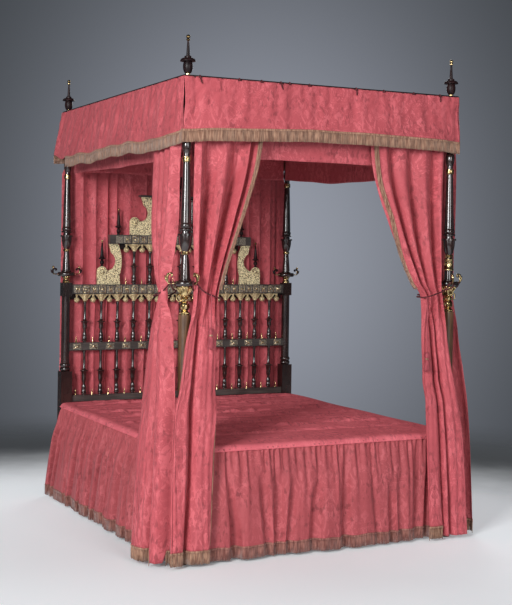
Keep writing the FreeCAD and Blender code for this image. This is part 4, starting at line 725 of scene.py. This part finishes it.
VALANCE_TOP = 2.413
VALANCE_DROP = {
    "foot": ((-1, -0.5, 0, 0.4, 1), (0.266, 0.248, 0.235, 0.238, 0.250)),
    "left": ((-1, -0.82, -0.74, -0.31, 0.12, 0.54, 0.76, 0.87, 1),
             (0.268, 0.305, 0.294, 0.296, 0.284, 0.293, 0.294, 0.286, 0.260)),
    "right": ((-1, 0, 1), (0.247, 0.238, 0.244)),
    "head": ((-1, 0, 1), (0.244, 0.236, 0.262)),
}
BARE_END = {"left": -0.76}
CORNER_REACH = 0.13


def outer_valance(side, seed):
    """Valance nailed round the tester: it flares, ripples, is drawn in at the foot corners, and is fringed."""
    rng = np.random.default_rng(seed)
    face, half = (1.0022, 0.8180) if side in ("foot", "head") else (0.8202, 1.0000)
    slack, sag = (0.0090, 0.0060) if side == "left" else (0.0085, 0.0012)
    t, s = cloth_grid(40, 400)
    metres = s * half
    left_end = np.exp(-((1 + s) * half / CORNER_REACH) ** 2)
    right_end = np.exp(-((1 - s) * half / CORNER_REACH) ** 2)
    drawn = {"foot": left_end + right_end, "left": right_end, "right": left_end, "head": 0 * s}[side]
    flare = 0.037 * (0.75 * t + 0.25 * t ** 2) * (1 - 0.92 * drawn)
    ripple = slack * wander(rng, metres, (0.29, 0.47, 0.9)) * t ** 1.2 * (1 - drawn)
    pleat = 0.0062 * wander(rng, metres + 0.02 * t, (0.074, 0.113, 0.171))
    pleat = pleat * np.sin(math.pi * (0.12 + 0.76 * t)) ** 2
    tuck = np.maximum(np.cos(metres * TAU / 0.152), 0) ** 8 * np.exp(-t / 0.20) * 0.0055
    drag = 0.0030 * wander(rng, metres + t * 0.25, (0.05, 0.09, 0.16)) * (1 - t) * ramp(t, 0, 0.05)
    slit = 0.007 * np.sin(np.clip(t / 0.85, 0, 1) * math.pi) ** 2 * drawn
    z = VALANCE_TOP - smooth(*VALANCE_DROP[side], s) * t + sag * wander(rng, metres, (0.27, 0.41)) * t ** 2
    points = around(side, s * (half - slit + flare), face + flare + ripple + pleat - tuck + drag, z)
    hem = points[-1, s[0] >= BARE_END.get(side, -1)]
    band = fringe("valance_%s_fringe" % side, hem, 0.060, seed)
    sheet("valance_%s_cloth" % side, points, ROSE, "valance_" + side)


TIE_SPOTS = (-0.735, -0.520, -0.395, -0.285, -0.235, -0.120, 0.160, 0.330, 0.520, 0.690)


def valance_ties():
    """Dark tapes tied over the tester's front rail, some with a short hanging end."""
    rng = np.random.default_rng(91)
    y = -1.0075
    z = VALANCE_TOP - 0.003
    blocks = []
    for number, x in enumerate(TIE_SPOTS):
        wide = rng.uniform(0.006, 0.011)
        blocks.append(sweep([(x - wide, y, z - 0.002), (x, y - 0.001, z + 0.001), (x + wide, y, z - 0.001)],
                            (0.0026, 0.0042, 0.0026)))
        blocks.append(sweep([(x, y + 0.008, z + 0.010), (x, y + 0.001, z + 0.007), (x, y, z)],
                            (0.0035, 0.0040, 0.0040)))
        if number % 3 == 0:
            slant = rng.uniform(-0.012, 0.012)
            path = [(x, y, z), (x + slant * 0.4, y - 0.003, z - 0.014), (x + slant, y - 0.002, z - 0.030)]
            blocks.append(sweep(path, (0.0028, 0.0036, 0.0030)))
    add_blocks("valance_ties", blocks, TIE_SILK)


INNER_TOP = 2.412
INNER_DROP = {
    "foot": ((-1, 0, 1), (0.390, 0.388, 0.392)),
    "right": ((-1, -0.26, 0.18, 1), (0.418, 0.428, 0.424, 0.372)),
    "head": ((-1, 0, 1), (0.374, 0.378, 0.372)),
    "left": ((-1, 0, 1), (0.380, 0.390, 0.386)),
}


def inner_valances():
    """Straight valances inside the tester rails."""
    rng = np.random.default_rng(35)
    t, s = cloth_grid(26, 200)
    for side, drop in INNER_DROP.items():
        face, half = (0.9345, 0.742) if side in ("foot", "head") else (0.7525, 0.9342)
        metres = s * half
        ripple = 0.005 * wander(rng, metres, (0.27, 0.41, 0.8)) * t ** 1.2
        pucker = 0.0018 * wander(rng, metres, (0.035, 0.05)) * np.exp(-t / 0.2)
        z = INNER_TOP - smooth(*drop, s) * t + 0.003 * wander(rng, metres, (0.4, 0.7)) * t
        points = around(side, metres, face - 0.002 + ripple + pucker, z)
        sheet("inner_valance_" + side, points, ROSE, "inner_valances")


def tester_cloth():
    """Cloth stretched over the tester, with a little sag."""
    rng = np.random.default_rng(41)
    low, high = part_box("tester_cloth")
    x = np.linspace(low.x, high.x, 60)[None, :]
    y = np.linspace(low.y, high.y, 70)[:, None]
    bowl = np.sin((x - low.x) / (high.x - low.x) * math.pi) * np.sin((y - low.y) / (high.y - low.y) * math.pi)
    slack = 0.0008 * wander(rng, x * 3 + y, (0.5, 0.9)) * bowl
    z = (low.z + high.z) / 2 - 0.016 * bowl + slack
    sheet("tester_cloth_sheet", combined(x, y, z), LINING, "tester_cloth")


# Bedding

COVERLET_HALF = 0.822
COVERLET_FOOT = -0.998
COVERLET_HEAD = 0.940
COVERLET_Z = 0.571
COVERLET_EDGE = 0.030
NOTCH_X = POST_X - 0.044
NOTCH_Y = -POST_Y + 0.044


def coverlet_top():
    """Padded panel with puckers across it and a rounded edge, cut round the foot posts."""
    rng = np.random.default_rng(51)
    xs = np.concatenate([np.linspace(-COVERLET_HALF, -NOTCH_X, 9), np.linspace(-NOTCH_X, NOTCH_X, 91)[1:-1],
                         np.linspace(NOTCH_X, COVERLET_HALF, 9)])
    ys = np.concatenate([np.linspace(COVERLET_FOOT, NOTCH_Y, 9),
                         np.linspace(NOTCH_Y, COVERLET_HEAD, 190)[1:]])
    x, y = np.meshgrid(xs, ys)
    edge = np.minimum(np.minimum(COVERLET_HALF - np.abs(x), y - COVERLET_FOOT), COVERLET_EDGE)
    rounding = 0.024 * (1 - np.sqrt(np.clip(1 - (1 - edge / COVERLET_EDGE) ** 2, 0, 1)))
    spot = y + 0.018 * wander(rng, x, (0.5, 0.83)) + 0.016 * wander(rng, x * 1.7 + y, (0.21, 0.33))
    tufted = 0.15 + 0.85 * np.abs(wander(rng, x + y * 0.8, (0.19, 0.29)))
    pucker = wander(rng, spot, (0.055, 0.075, 0.103)) * tufted * ramp(y, -0.93, -0.45)
    pucker = pucker * ramp(COVERLET_HALF - np.abs(x), 0.015, 0.13)
    swell = 0.004 * wander(rng, x, (0.6, 1.0)) * wander(rng, y, (0.7, 1.2))
    z = COVERLET_Z - rounding + (0.021 * np.maximum(pucker, -0.12) + swell) * ramp(edge, 0, COVERLET_EDGE)
    flat = np.stack([x + COVERLET_HALF, COVERLET_HEAD - y], axis=-1)
    keep = (np.abs(x[1:, 1:] + x[:-1, :-1]) < 2 * NOTCH_X) | (y[1:, 1:] + y[:-1, :-1] > 2 * NOTCH_Y)
    mesh = grid_mesh("coverlet_panel", np.stack([x, y, z], axis=-1), flat, keep)
    piece = add_piece("coverlet_panel", mesh, ROSE_TOP_PAINTED_LIGHT)
    thicken(piece, 0.006, -1)
    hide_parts("coverlet_top")


# Half length, distance out at the top, the rail's face behind, fullness, depth of folds and pitch of gathers

SKIRT_SIZES = {
    "foot": (0.735, 0.992, 0.986, 0.028, 1.0, 0.030),
    "right": (0.920, 0.814, 0.804, 0.026, 1.7, 0.023),
    "left": (0.920, 0.814, 0.804, 0.026, 1.7, 0.023),
}
SKIRT_TOP = 0.562
SKIRT_DROP = 0.49
SKIRT_ROOM = 0.003


def skirt(side, seed):
    """Skirt gathered to the coverlet's edge: dense short gathers, then loose folds to a fringed hem."""
    rng = np.random.default_rng(seed)
    half, top_out, rail_face, fullness, depth, pitch = SKIRT_SIZES[side]
    across = side == "foot"
    t, s = cloth_grid(64, 720)
    metres = s * half
    to_head = {"foot": 0 * s, "right": (1 + s) / 2, "left": (1 - s) / 2}[side]
    hem_out = 1.006 if across else 0.842 + 0.042 * to_head
    clear = ramp(metres, -0.66, -0.54) * ramp(metres, 0.60, 0.48) if across else ramp(to_head, 0.14, 0.24)
    fall = t * SKIRT_DROP
    slant = 1 - to_head if side == "left" else 0
    jig = 0.012 * wander(rng, metres, (0.11, 0.19, 0.4)) + 0.10 * fall * slant
    gather = np.cos((metres + jig) * TAU / pitch) * np.exp(-fall / 0.09) * 0.0072
    gather = gather * (0.75 + 0.5 * wander(rng, metres, (0.13, 0.29)))
    second = np.cos((metres + jig * 2) * TAU / 0.063 + 1) * 0.0085
    second = second * ramp(fall, 0.0, 0.05) * np.exp(-fall / 0.22)
    folds = 0 * s * t
    shift = 0 * s * t
    spot = -half + rng.uniform(0.03, 0.09)
    while spot < half:
        start = rng.uniform(0.0, 0.16)
        width = rng.uniform(0.012, 0.026)
        deep = rng.uniform(0.018, 0.040) * depth
        place = metres - spot - rng.uniform(-0.06, 0.06) * t
        grown = ramp(fall, start, start + 0.22) if across else ramp(fall, start * 0.4, start * 0.4 + 0.14)
        crease = deep * grown * np.exp(-(place / width) ** 2)
        folds = folds - crease
        shift = shift + 0.45 * crease * place / width
        spot += rng.uniform(0.06, 0.16)
    swell = 0.010 * wander(rng, metres + 0.03 * t, (0.23, 0.37, 0.61)) * ramp(fall, 0.05, 0.45) + 0.010 * t
    full = fullness * clear * ramp(fall, 0.01, 0.22)
    distance = top_out + (hem_out - top_out) * t ** 0.7 + gather + second + folds + swell + full
    spare = distance - rail_face - SKIRT_ROOM
    distance = distance - spare + (spare + np.sqrt(spare ** 2 + 0.003 ** 2)) / 2
    lifted = 0.004 * wander(rng, metres, (0.12, 0.21, 0.33)) * t ** 3
    points = around(side, metres + shift, distance, SKIRT_TOP - fall + lifted)
    band = fringe("skirt_%s_fringe" % side, points[-1], 0.060, seed, finish=SKIRT_FRINGE_PAINTED_SHADE)
    sheet("coverlet_skirt_" + side, points, ROSE_SKIRT_PAINTED_SHADE, "coverlet_skirts")


# Inset and height of the mattress's outline, from its underside up to its middle

MATTRESS_RISE = 0.202
MATTRESS_PROFILE = (
    (0.030, 0.0), (0.012, 0.004), (0.001, 0.018), (0.001, 0.030), (0.014, 0.044), (0.005, 0.075),
    (0.003, 0.105), (0.005, 0.135), (0.014, 0.160), (0.001, 0.174), (0.001, 0.186), (0.012, 0.199),
    (0.030, 0.202))
MATTRESS_CORNER = 0.12


def mattress():
    """Stuffed mattress in striped ticking with a roll along both edges."""
    low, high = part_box("mattress")
    middle = (low + high) / 2
    half = (high - low) / 2
    turn = circle(240)
    outline = [np.sign(wave) * np.abs(wave) ** MATTRESS_CORNER for wave in (np.cos(turn), np.sin(turn))]
    rings = []
    for inset, level in MATTRESS_PROFILE:
        x = middle.x + (half.x - inset) * outline[0]
        y = middle.y + (half.y - inset) * outline[1]
        rings.append(combined(x, y, low.z + level / MATTRESS_RISE * (high.z - low.z)))
    piece = add_blocks("mattress_pad", [loft_block(rings)], TICKING)
    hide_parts("mattress")


# Cords and tassels

def spline_points(route):
    """Points along a smooth curve with the route's points as its control points."""
    data = bpy.data.curves.new("route", "CURVE")
    data.dimensions = "3D"
    data.resolution_u = 10
    line = data.splines.new("NURBS")
    line.points.add(len(route) - 1)
    for point, place in zip(line.points, route):
        point.co = (*place, 1)
    line.order_u = 3
    line.use_endpoint_u = True
    holder = new_object("route", data)
    bpy.context.view_layer.update()
    mesh = bpy.data.meshes.new_from_object(holder)
    points = np.array([tuple(vertex.co) for vertex in mesh.vertices])
    bpy.data.objects.remove(holder)
    bpy.data.curves.remove(data)
    bpy.data.meshes.remove(mesh)
    return points


ROPE_PITCH = 0.0022


def rope(name, route, radius, lay, finish, body="root"):
    """A twisted rope of three strands along a route."""
    centre = spaced(spline_points(route), ROPE_PITCH)
    turn = circle(15)
    rings = []
    for number, (spot, (first, second)) in enumerate(zip(centre, carried_frames(centre))):
        swell = radius * (0.80 + 0.20 * np.cos(3 * (turn - number * ROPE_PITCH / lay * TAU)))
        rings.append(spot + first * (swell * np.cos(turn))[:, None]
                     + second * (swell * np.sin(turn))[:, None])
    return add_blocks(name, [loft_block(rings)], finish, body), centre


# Tie-backs: side, angle of the hook, and steps along the curtain, out from the post and up from its disc

SIDE_TIE = ((0.064, 0.087, -0.039), (0.256, 0.062, -0.070), (0.280, 0.057, -0.072), (0.280, -0.019, -0.072),
            (0.256, -0.022, -0.070), (0.0595, 0.011, -0.039))
TIE_RUNS = {
    "foot_left": (-1, -70, ((0.064, 0.075, -0.039), (0.150, 0.079, -0.070), (0.174, 0.075, -0.072),
                            (0.174, -0.001, -0.072), (0.150, -0.005, -0.070), (0.0595, -0.001, -0.039))),
    "foot_right": (1, 250, ((0.072, 0.075, -0.039), (0.187, 0.079, -0.070), (0.211, 0.075, -0.072),
                            (0.211, -0.001, -0.072), (0.187, -0.005, -0.070), (0.0675, -0.001, -0.039))),
    "side_left": (-1, 171, SIDE_TIE),
    "side_right": (1, 9, SIDE_TIE),
}
TIE_TURN = (0.008, 0.071, -0.026)
HOOK_REACH = 0.071
HOOK_RISE = 0.0083


def tie_backs():
    """Ropes over the hooks and round the gathers, held all the way round."""
    for name, (side, angle, steps) in TIE_RUNS.items():
        on_foot = name.startswith("foot")
        post = np.array([side * POST_X, -POST_Y, DISC_Z])
        hook = spokes(post, math.radians(angle), ((HOOK_REACH, HOOK_RISE),))[0]
        across = np.cross((0, 0, 1), hook - post) / HOOK_REACH
        towards = np.array([-side, 0, 0]) if on_foot else np.array([0, 1, 0])
        across = across if across @ towards > 0 else -across
        route = [hook - across * 0.010, hook + across * 0.010]
        for along, out, rise in steps + (TIE_TURN,):
            step = (-side * along, -out, rise) if on_foot else (side * out, along, rise)
            route.append(post + np.array(step))
        route.append(route[0] - np.array([0, 0, 0.004]))
        piece, _ = rope("tie_back_" + name, route, 0.0042, 0.024, TIE_SILK)
        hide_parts("tie_back_cords")


# Tassels: where each tail leaves its tie-back, and its length; radii and heights of the parts below the tail

TASSELS = {"left": ((-0.678, -1.0513, 1.3373), 0.165), "right": ((0.596, -1.0513, 1.3222), 0.300)}
TASSEL_HEAD = ((0.0062, -0.034), (0.0085, -0.031), (0.0118, -0.024), (0.0125, -0.015), (0.0105, -0.006),
               (0.007, 0.001), (0.0035, 0.004))
TASSEL_NECK = ((0.0070, -0.041), (0.0088, -0.039), (0.0092, -0.036), (0.0088, -0.033), (0.0070, -0.031))
TASSEL_SKIRT = ((0.0120, -0.100), (0.0168, -0.099), (0.0162, -0.090), (0.0148, -0.074), (0.0128, -0.056),
                (0.0100, -0.044), (0.0070, -0.038))
TASSEL_PARTS = (("head", TASSEL_HEAD, CORD, 48, 12, 0.05), ("neck", TASSEL_NECK, FRINGE, 48, 0, 0.0),
                ("skirt", TASSEL_SKIRT, CORD, 96, 24, 0.07))


def tassel(side, pivot, tail):
    """A cord tail with a corded head, a bound neck and a skirt of threads."""
    body = "tassel_" + side
    x, y, z = pivot
    top = z - tail
    route = [(x, y, z), (x + 0.001, y - 0.001, z - tail * 0.35), (x - 0.001, y, z - tail * 0.7), (x, y, top)]
    cord, path = rope("tassel_%s_tail" % side, route, 0.0035, 0.018, CORD, body)
    for label, profile, finish, segments, ribs, rib in TASSEL_PARTS:
        block = turned(profile, (x, y, top), segments, ribs, rib)
        add_blocks("tassel_%s_%s" % (side, label), [block], finish, body)
    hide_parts(body)


# Ornament: paths are given as reach from the post's axis and height

CAPITAL_RIB = ((0.0245, 1.333), (0.0275, 1.346), (0.0335, 1.358), (0.0410, 1.371))
CAPITAL_BEADS = ((6, 0.0215, 0.0068, 1.327), (18, 0.0240, 0.0042, 1.2425), (14, 0.0205, 0.0036, 1.309))
CAPITAL_HANDLE = ((0.024, 1.334), (0.036, 1.336), (0.044, 1.325), (0.041, 1.310), (0.030, 1.301),
                  (0.021, 1.304), (0.020, 1.311))
HANDLE_RADII = (0.0032, 0.0036, 0.0040, 0.0038, 0.0034, 0.0030, 0.0036)


def capital_ornaments():
    """Flutes, beads and scroll handles on the gilt capitals of the foot posts."""
    for label, side in (("left", -1), ("right", 1)):
        post = (side * POST_X, -POST_Y, 0)
        blocks = [sweep(spokes(post, angle, CAPITAL_RIB), (0.0022, 0.0032, 0.0040, 0.0046), 6, 3)
                  for angle in circle(16)]
        for count, radius, size, z in CAPITAL_BEADS:
            blocks += [ball(spokes(post, angle, ((radius, z),))[0], size) for angle in circle(count)]
        blocks += [sweep(spokes(post, angle, CAPITAL_HANDLE), HANDLE_RADII) for angle in (math.pi, 0)]
        add_blocks("capital_ornament_" + label, blocks, BRASS)


HOOK_ANGLES = {(-1, -1): (171, -70), (1, -1): (9, 250), (-1, 1): (0, 180), (1, 1): (0, 180)}
HOOK_SCROLL = ((0.086, 0.006), (0.0905, 0.022), (0.0905, 0.042), (0.083, 0.058), (0.072, 0.062),
               (0.0645, 0.054), (0.0665, 0.045), (0.073, 0.045))
SCROLL_RADII = (0.0040, 0.0052, 0.0058, 0.0054, 0.0048, 0.0042, 0.0038, 0.0050)
HOOK_LEAF = ((0.089, 0.012), (0.097, 0.024), (0.099, 0.040), (0.105, 0.050))
LEAF_RADII = (0.0030, 0.0048, 0.0040, 0.0012)


def hook_scrolls():
    """Scrolled leaves on the hooks round the discs, gilt at the foot and small and dark at the head."""
    blocks = {-1: [], 1: []}
    for (side, end), angles in HOOK_ANGLES.items():
        tall = 0.82 if end < 0 else 0.55
        post = (side * POST_X, end * POST_Y, DISC_Z)
        for angle in angles:
            for path, radii in ((HOOK_SCROLL, SCROLL_RADII), (HOOK_LEAF, LEAF_RADII)):
                blocks[end].append(sweep(spokes(post, math.radians(angle), path, tall), radii))
    add_blocks("hook_scrolls", blocks[-1], BRASS)
    add_blocks("head_hook_scrolls", blocks[1], DULL_EBONY)


COLLAR = ((0.0258, 1.462), (0.0272, 1.465), (0.0272, 1.469), (0.0240, 1.472), (0.0228, 1.495),
          (0.0212, 1.518), (0.0235, 1.521), (0.0235, 1.526), (0.0215, 1.529))


def stem_collar():
    """Tall gilt sleeve round one foot post's stem."""
    add_blocks("stem_collar", [turned(COLLAR, (POST_X, -POST_Y, 0), 72, 18, 0.03)], BRASS)


# Headboard: for each rail with arches under it, the number of spindles, and the rail's lower and upper edge

SPINDLE_PITCH = 0.11
RAIL_ROWS = ((13, 1.269, 1.318), (7, 1.592, 1.639))
MID_RAIL_Z = 0.9285
MID_RAIL_PLATES = 14
RAIL_FILL = 0.0265
FRAME_HALF = 0.0195
FRAME_INSET = 0.0035
CORBEL = ((0.0000, 0.0540), (0.0035, 0.0520), (0.0065, 0.0420), (0.0120, 0.0340), (0.0200, 0.0265),
          (0.0300, 0.0190), (0.0400, 0.0115), (0.0470, 0.0085))
CORBEL_FACE = 0.960
CORBEL_BACK = 0.972


def bays(count):
    """Middles of a row of spindles, or of the plates between them, across the headboard."""
    return [(number - (count - 1) / 2) * SPINDLE_PITCH for number in range(count)]


def plate(x, z, half_x, half_z, face, depth):
    """A thin plate with a bevelled edge, proud of a face towards the foot of the bed."""
    turns = ((1, -1), (1, 1), (-1, 1), (-1, -1))
    return loft_block([np.array([(x + dx * (half_x - bevel), face - bevel, z + dz * (half_z - bevel))
                                 for dx, dz in turns]) for bevel in (0, depth)])


def rail_arcades():
    """Corbels that join into arches under the upper rails, with a dark board behind the arches."""
    corbels = []
    boards = []
    for count, low, _ in RAIL_ROWS:
        top = low - 0.006
        for x in bays(count):
            rings = [np.array([(x + wide, CORBEL_FACE, top - drop), (x - wide, CORBEL_FACE, top - drop),
                               (x - wide, CORBEL_BACK, top - drop), (x + wide, CORBEL_BACK, top - drop)])
                     for drop, wide in CORBEL]
            corbels.append(loft_block(rings))
        boards.append(plate(0, top - 0.018, count * SPINDLE_PITCH / 2 + 0.04, 0.018, 0.982, 0.004))
    add_blocks("rail_corbels", corbels, ARCADE_GILT, rounded=False)
    add_blocks("rail_arch_boards", boards, DULL_EBONY, rounded=False)


def rail_ornaments():
    """Frames, bosses and bars on the upper rails' plates, and crossed bars on the middle rail's plates."""
    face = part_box("rail_plaques")[0].y - 0.0004
    blocks = []
    fills = []
    for count, low, high in RAIL_ROWS:
        middle = (low + high) / 2
        ends = (low + FRAME_INSET, high - FRAME_INSET)
        for x in bays(count):
            corners = [(x + dx * FRAME_HALF, face, ends[end])
                       for dx, end in ((-1, 0), (1, 0), (1, 1), (-1, 1))]
            blocks += [bar(*pair, 0.0022) for pair in zip(corners, corners[1:] + corners[:1])]
            blocks.append(ball((x, face, middle), 0.0085))
        for x in bays(count + 1):
            fills.append(plate(x, middle, RAIL_FILL, (high - low) / 2, face + 0.0040, 0.0025))
            for dx in (-0.008, 0.008):
                start = (x + dx, face + 0.001, low + 0.004)
                blocks.append(bar(start, (x + dx, face + 0.001, high - 0.004), 0.0030))
            blocks.append(ball((x, face + 0.001, middle), 0.0068))
    for x in bays(MID_RAIL_PLATES):
        for rise in (-0.014, 0.014):
            start = (x - 0.024, face, MID_RAIL_Z - rise)
            blocks.append(bar(start, (x + 0.024, face, MID_RAIL_Z + rise), 0.0026))
        blocks.append(ball((x, face, MID_RAIL_Z), 0.0072))
    add_blocks("rail_ornaments", blocks, OLD_GILT)
    add_blocks("rail_fill_plates", fills, PLATE_BRONZE, rounded=False)


# Spindles: their number in each tier, and the heights of their top, rim, cup, bell and foot

SPINDLE_TIERS = ((13, 0.904, 0.774, 0.708, 0.697, 0.626), (13, 1.214, 1.087, 1.051, 1.040, 0.961),
                 (7, 1.537, 1.444, 1.406, 1.394, 1.332))
CREST_SPIRE = ((0.0150, 0.046), (0.0230, 0.050), (0.0235, 0.053), (0.0150, 0.057), (0.0125, 0.062),
               (0.0100, 0.085), (0.0075, 0.120), (0.0050, 0.150))


def spindle_turnings():
    """Stems, wide-rimmed cups and bell-shaped feet on the headboard's spindles."""
    blocks = []
    for count, top, rim, cup, bell, foot in SPINDLE_TIERS:
        profile = [(0.0130, foot), (0.0190, foot + 0.002), (0.0190, foot + 0.006), (0.0160, foot + 0.009),
                   (0.0148, (foot * 2 + bell) / 3), (0.0125, (foot + bell) / 2), (0.0085, bell),
                   (0.0120, (bell + cup) / 2), (0.0110, cup), (0.0155, (rim + cup) / 2),
                   (0.0175, rim - 0.006),
                   (0.0275, rim - 0.003), (0.0280, rim), (0.0150, rim + 0.003), (0.0120, rim + 0.010),
                   (0.0088, rim + 0.018), (0.0092, top - 0.020), (0.0115, top - 0.006), (0.0115, top)]
        blocks += [turned(profile, (x, POST_Y, 0)) for x in bays(count)]
    add_blocks("spindle_turnings", blocks, EBONY)


def crest_spires():
    """Wide-rimmed spires on the crest's finials."""
    spots = [(0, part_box("crest_cap")[1].z)]
    for side in (-1, 1):
        spots.append((side * 5 * SPINDLE_PITCH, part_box("crest_finials")[0].z))
        spots.append((side * 4 * SPINDLE_PITCH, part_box("crest_rail")[1].z))
    blocks = [turned(CREST_SPIRE, (x, POST_Y, z)) for x, z in spots]
    add_blocks("crest_spires", blocks, DULL_EBONY)


EYES = (("lower_scroll_brackets", 0.55, 1.408), ("upper_scroll_brackets", 0.33, 1.729))
SPIRAL_STEPS = 26


def bracket_volutes():
    """Raised spirals round the eyes of the scroll brackets, each with a boss."""
    turns = np.linspace(0, 3.2 * math.pi, SPIRAL_STEPS)
    reach = np.linspace(0.029, 0.013, SPIRAL_STEPS)
    radii = np.linspace(0.0034, 0.0026, SPIRAL_STEPS)
    blocks = []
    for node, x, z in EYES:
        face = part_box(node)[0].y - 0.001
        for side in (-1, 1):
            path = [(side * (x + r * math.sin(a)), face, z - r * math.cos(a)) for a, r in zip(turns, reach)]
            blocks.append(sweep(path, radii, 6, 2))
            blocks.append(ball((side * x, face, z), 0.0120))
    add_blocks("bracket_volutes", blocks, PALE_GILT)


# Stage

# The floor's far colour is a painted fall-off of light.
FLOOR_NEAR = (0.89, 0.92, 0.945)
FLOOR_FAR = (0.10, 0.11, 0.12)
FLOOR_RINGS = (0.02, 1.5, 4, 7, 12)
BACKDROP = (0.036, 0.041, 0.046, 1)
BACKDROP_GLOW = (0.305, 0.326, 0.380, 1)
EVEN_LIGHT = (0.96, 0.98, 1.0, 1)
LAMPS = {
    "key": ((-7.0, -5.9, 3.7), (0, 0, 1.35), (2.5, 2.7), 720),
    "front": ((-0.2, -8.2, 2.8), (0.1, 0, 1.2), (3.2, 2.4), 158),
    "back": ((3.5, 5.0, 4.0), (0, 0, 1.4), (2.5, 2.5), 80),
}


def area_light(name, place, aim, size, power):
    data = bpy.data.lights.new(name, "AREA")
    data.shape = "RECTANGLE"
    data.size, data.size_y = size
    data.energy = power
    lamp = new_object(name, data)
    lamp.location = place
    lamp.rotation_euler = (Vector(aim) - Vector(place)).to_track_quat("-Z", "Y").to_euler()


def make_floor():
    """A pale studio floor with a painted glow from its emission. Its colour darkens away from the camera as a
    painted fall-off of light, and it then gives way to the backdrop.
    """
    finish = Finish("studio_floor", Roughness=0.75, Specular_IOR_Level=0.2,
                    Emission_Color=(0.90, 0.95, 1.0, 1))
    place = finish.coordinates()
    x, y, _ = finish.axes(place)
    dx = x + 1.3
    dy = y + 1.9
    away = (dx * dx + dy * dy).math("SQRT") + finish.noise(place, 3.0, 3.0) * 0.3
    # Painted fall-off of light: the colour goes from pale to grey away from a spot near the camera.
    finish.feed("Base Color", finish.mix(away.step(3.3, 5.0), FLOOR_NEAR, FLOOR_FAR))
    # Painted light: the floor glows by emission, weakly near the bed, most in a ring further out, and not at
    # all beyond.
    finish.feed("Emission Strength", (away.step(1.2, 2.9) * 0.17 + 0.09) * away.step(4.9, 3.2))
    finish.bump(finish.noise(place, 200.0, 2.0), 0.0004, 0.2)
    clear = finish.add("BsdfTransparent")[0]
    blend = finish.add("MixShader", {0: away.step(4.9, 7.0), 1: finish.shader.outputs[0], 2: clear})[0]
    finish.tree.links.new(blend, finish.tree.nodes["Material Output"].inputs["Surface"])
    turn = circle(128)
    points, faces = loft_block([combined(radius * np.cos(turn), radius * np.sin(turn), -0.0005)
                                for radius in FLOOR_RINGS])
    mesh = bpy.data.meshes.new("studio_floor")
    mesh.from_pydata(points, [], faces[:-1])
    mesh.materials.append(finish.material)
    new_object("studio_floor", mesh)


def make_world():
    """Grey backdrop with a glow at eye height that camera and mirror rays see; even light for the rest."""
    world = bpy.data.worlds.new("studio")
    bpy.context.scene.world = world
    world.use_nodes = True
    tree = world.node_tree
    tree.nodes.clear()
    place = add_node(tree, "TexCoord").outputs["Generated"]
    x, y, z = (Field(tree, output) for output in add_node(tree, "SeparateXYZ", {0: place}).outputs)
    heading = y.math("ARCTAN2", x) - (math.pi / 2 - VIEW_YAW)
    beside = ((heading * 4.0).math("COSINE") * 0.5 + 0.5).math("POWER", 8.0)
    above = (z * z * -21.0).math("EXPONENT")
    colours = {0: beside * above, 6: BACKDROP, 7: BACKDROP_GLOW}
    glow = add_node(tree, "Mix", colours, data_type="RGBA").outputs[2]
    seen = add_node(tree, "Background", {"Color": glow}).outputs[0]
    even = add_node(tree, "Background", {"Color": EVEN_LIGHT, "Strength": 0.18}).outputs[0]
    rays = add_node(tree, "LightPath").outputs
    camera, mirror, through = (Field(tree, rays["Is %s Ray" % kind])
                               for kind in ("Camera", "Glossy", "Transmission"))
    direct = camera.math("MAXIMUM", mirror).math("MAXIMUM", through)
    choice = add_node(tree, "MixShader", {0: direct, 1: even, 2: seen}).outputs[0]
    add_node(tree, "OutputWorld", {"Surface": choice})


def make_stage():
    make_floor()
    make_world()
    for name, settings in LAMPS.items():
        area_light(name, *settings)
    bpy.context.scene.view_settings.view_transform = "Standard"


make_camera()
dress_nodes()
tie_backs()
for name, (pivot, tail) in TASSELS.items():
    tassel(name, pivot, tail)
make_curtains()
head_curtain()
for number, name in enumerate(("foot", "right", "head", "left")):
    outer_valance(name, 61 + number)
valance_ties()
inner_valances()
tester_cloth()
coverlet_top()
for number, name in enumerate(("foot", "right", "left")):
    skirt(name, 71 + number)
mattress()
capital_ornaments()
hook_scrolls()
rail_arcades()
rail_ornaments()
spindle_turnings()
crest_spires()
bracket_volutes()
stem_collar()
make_stage()
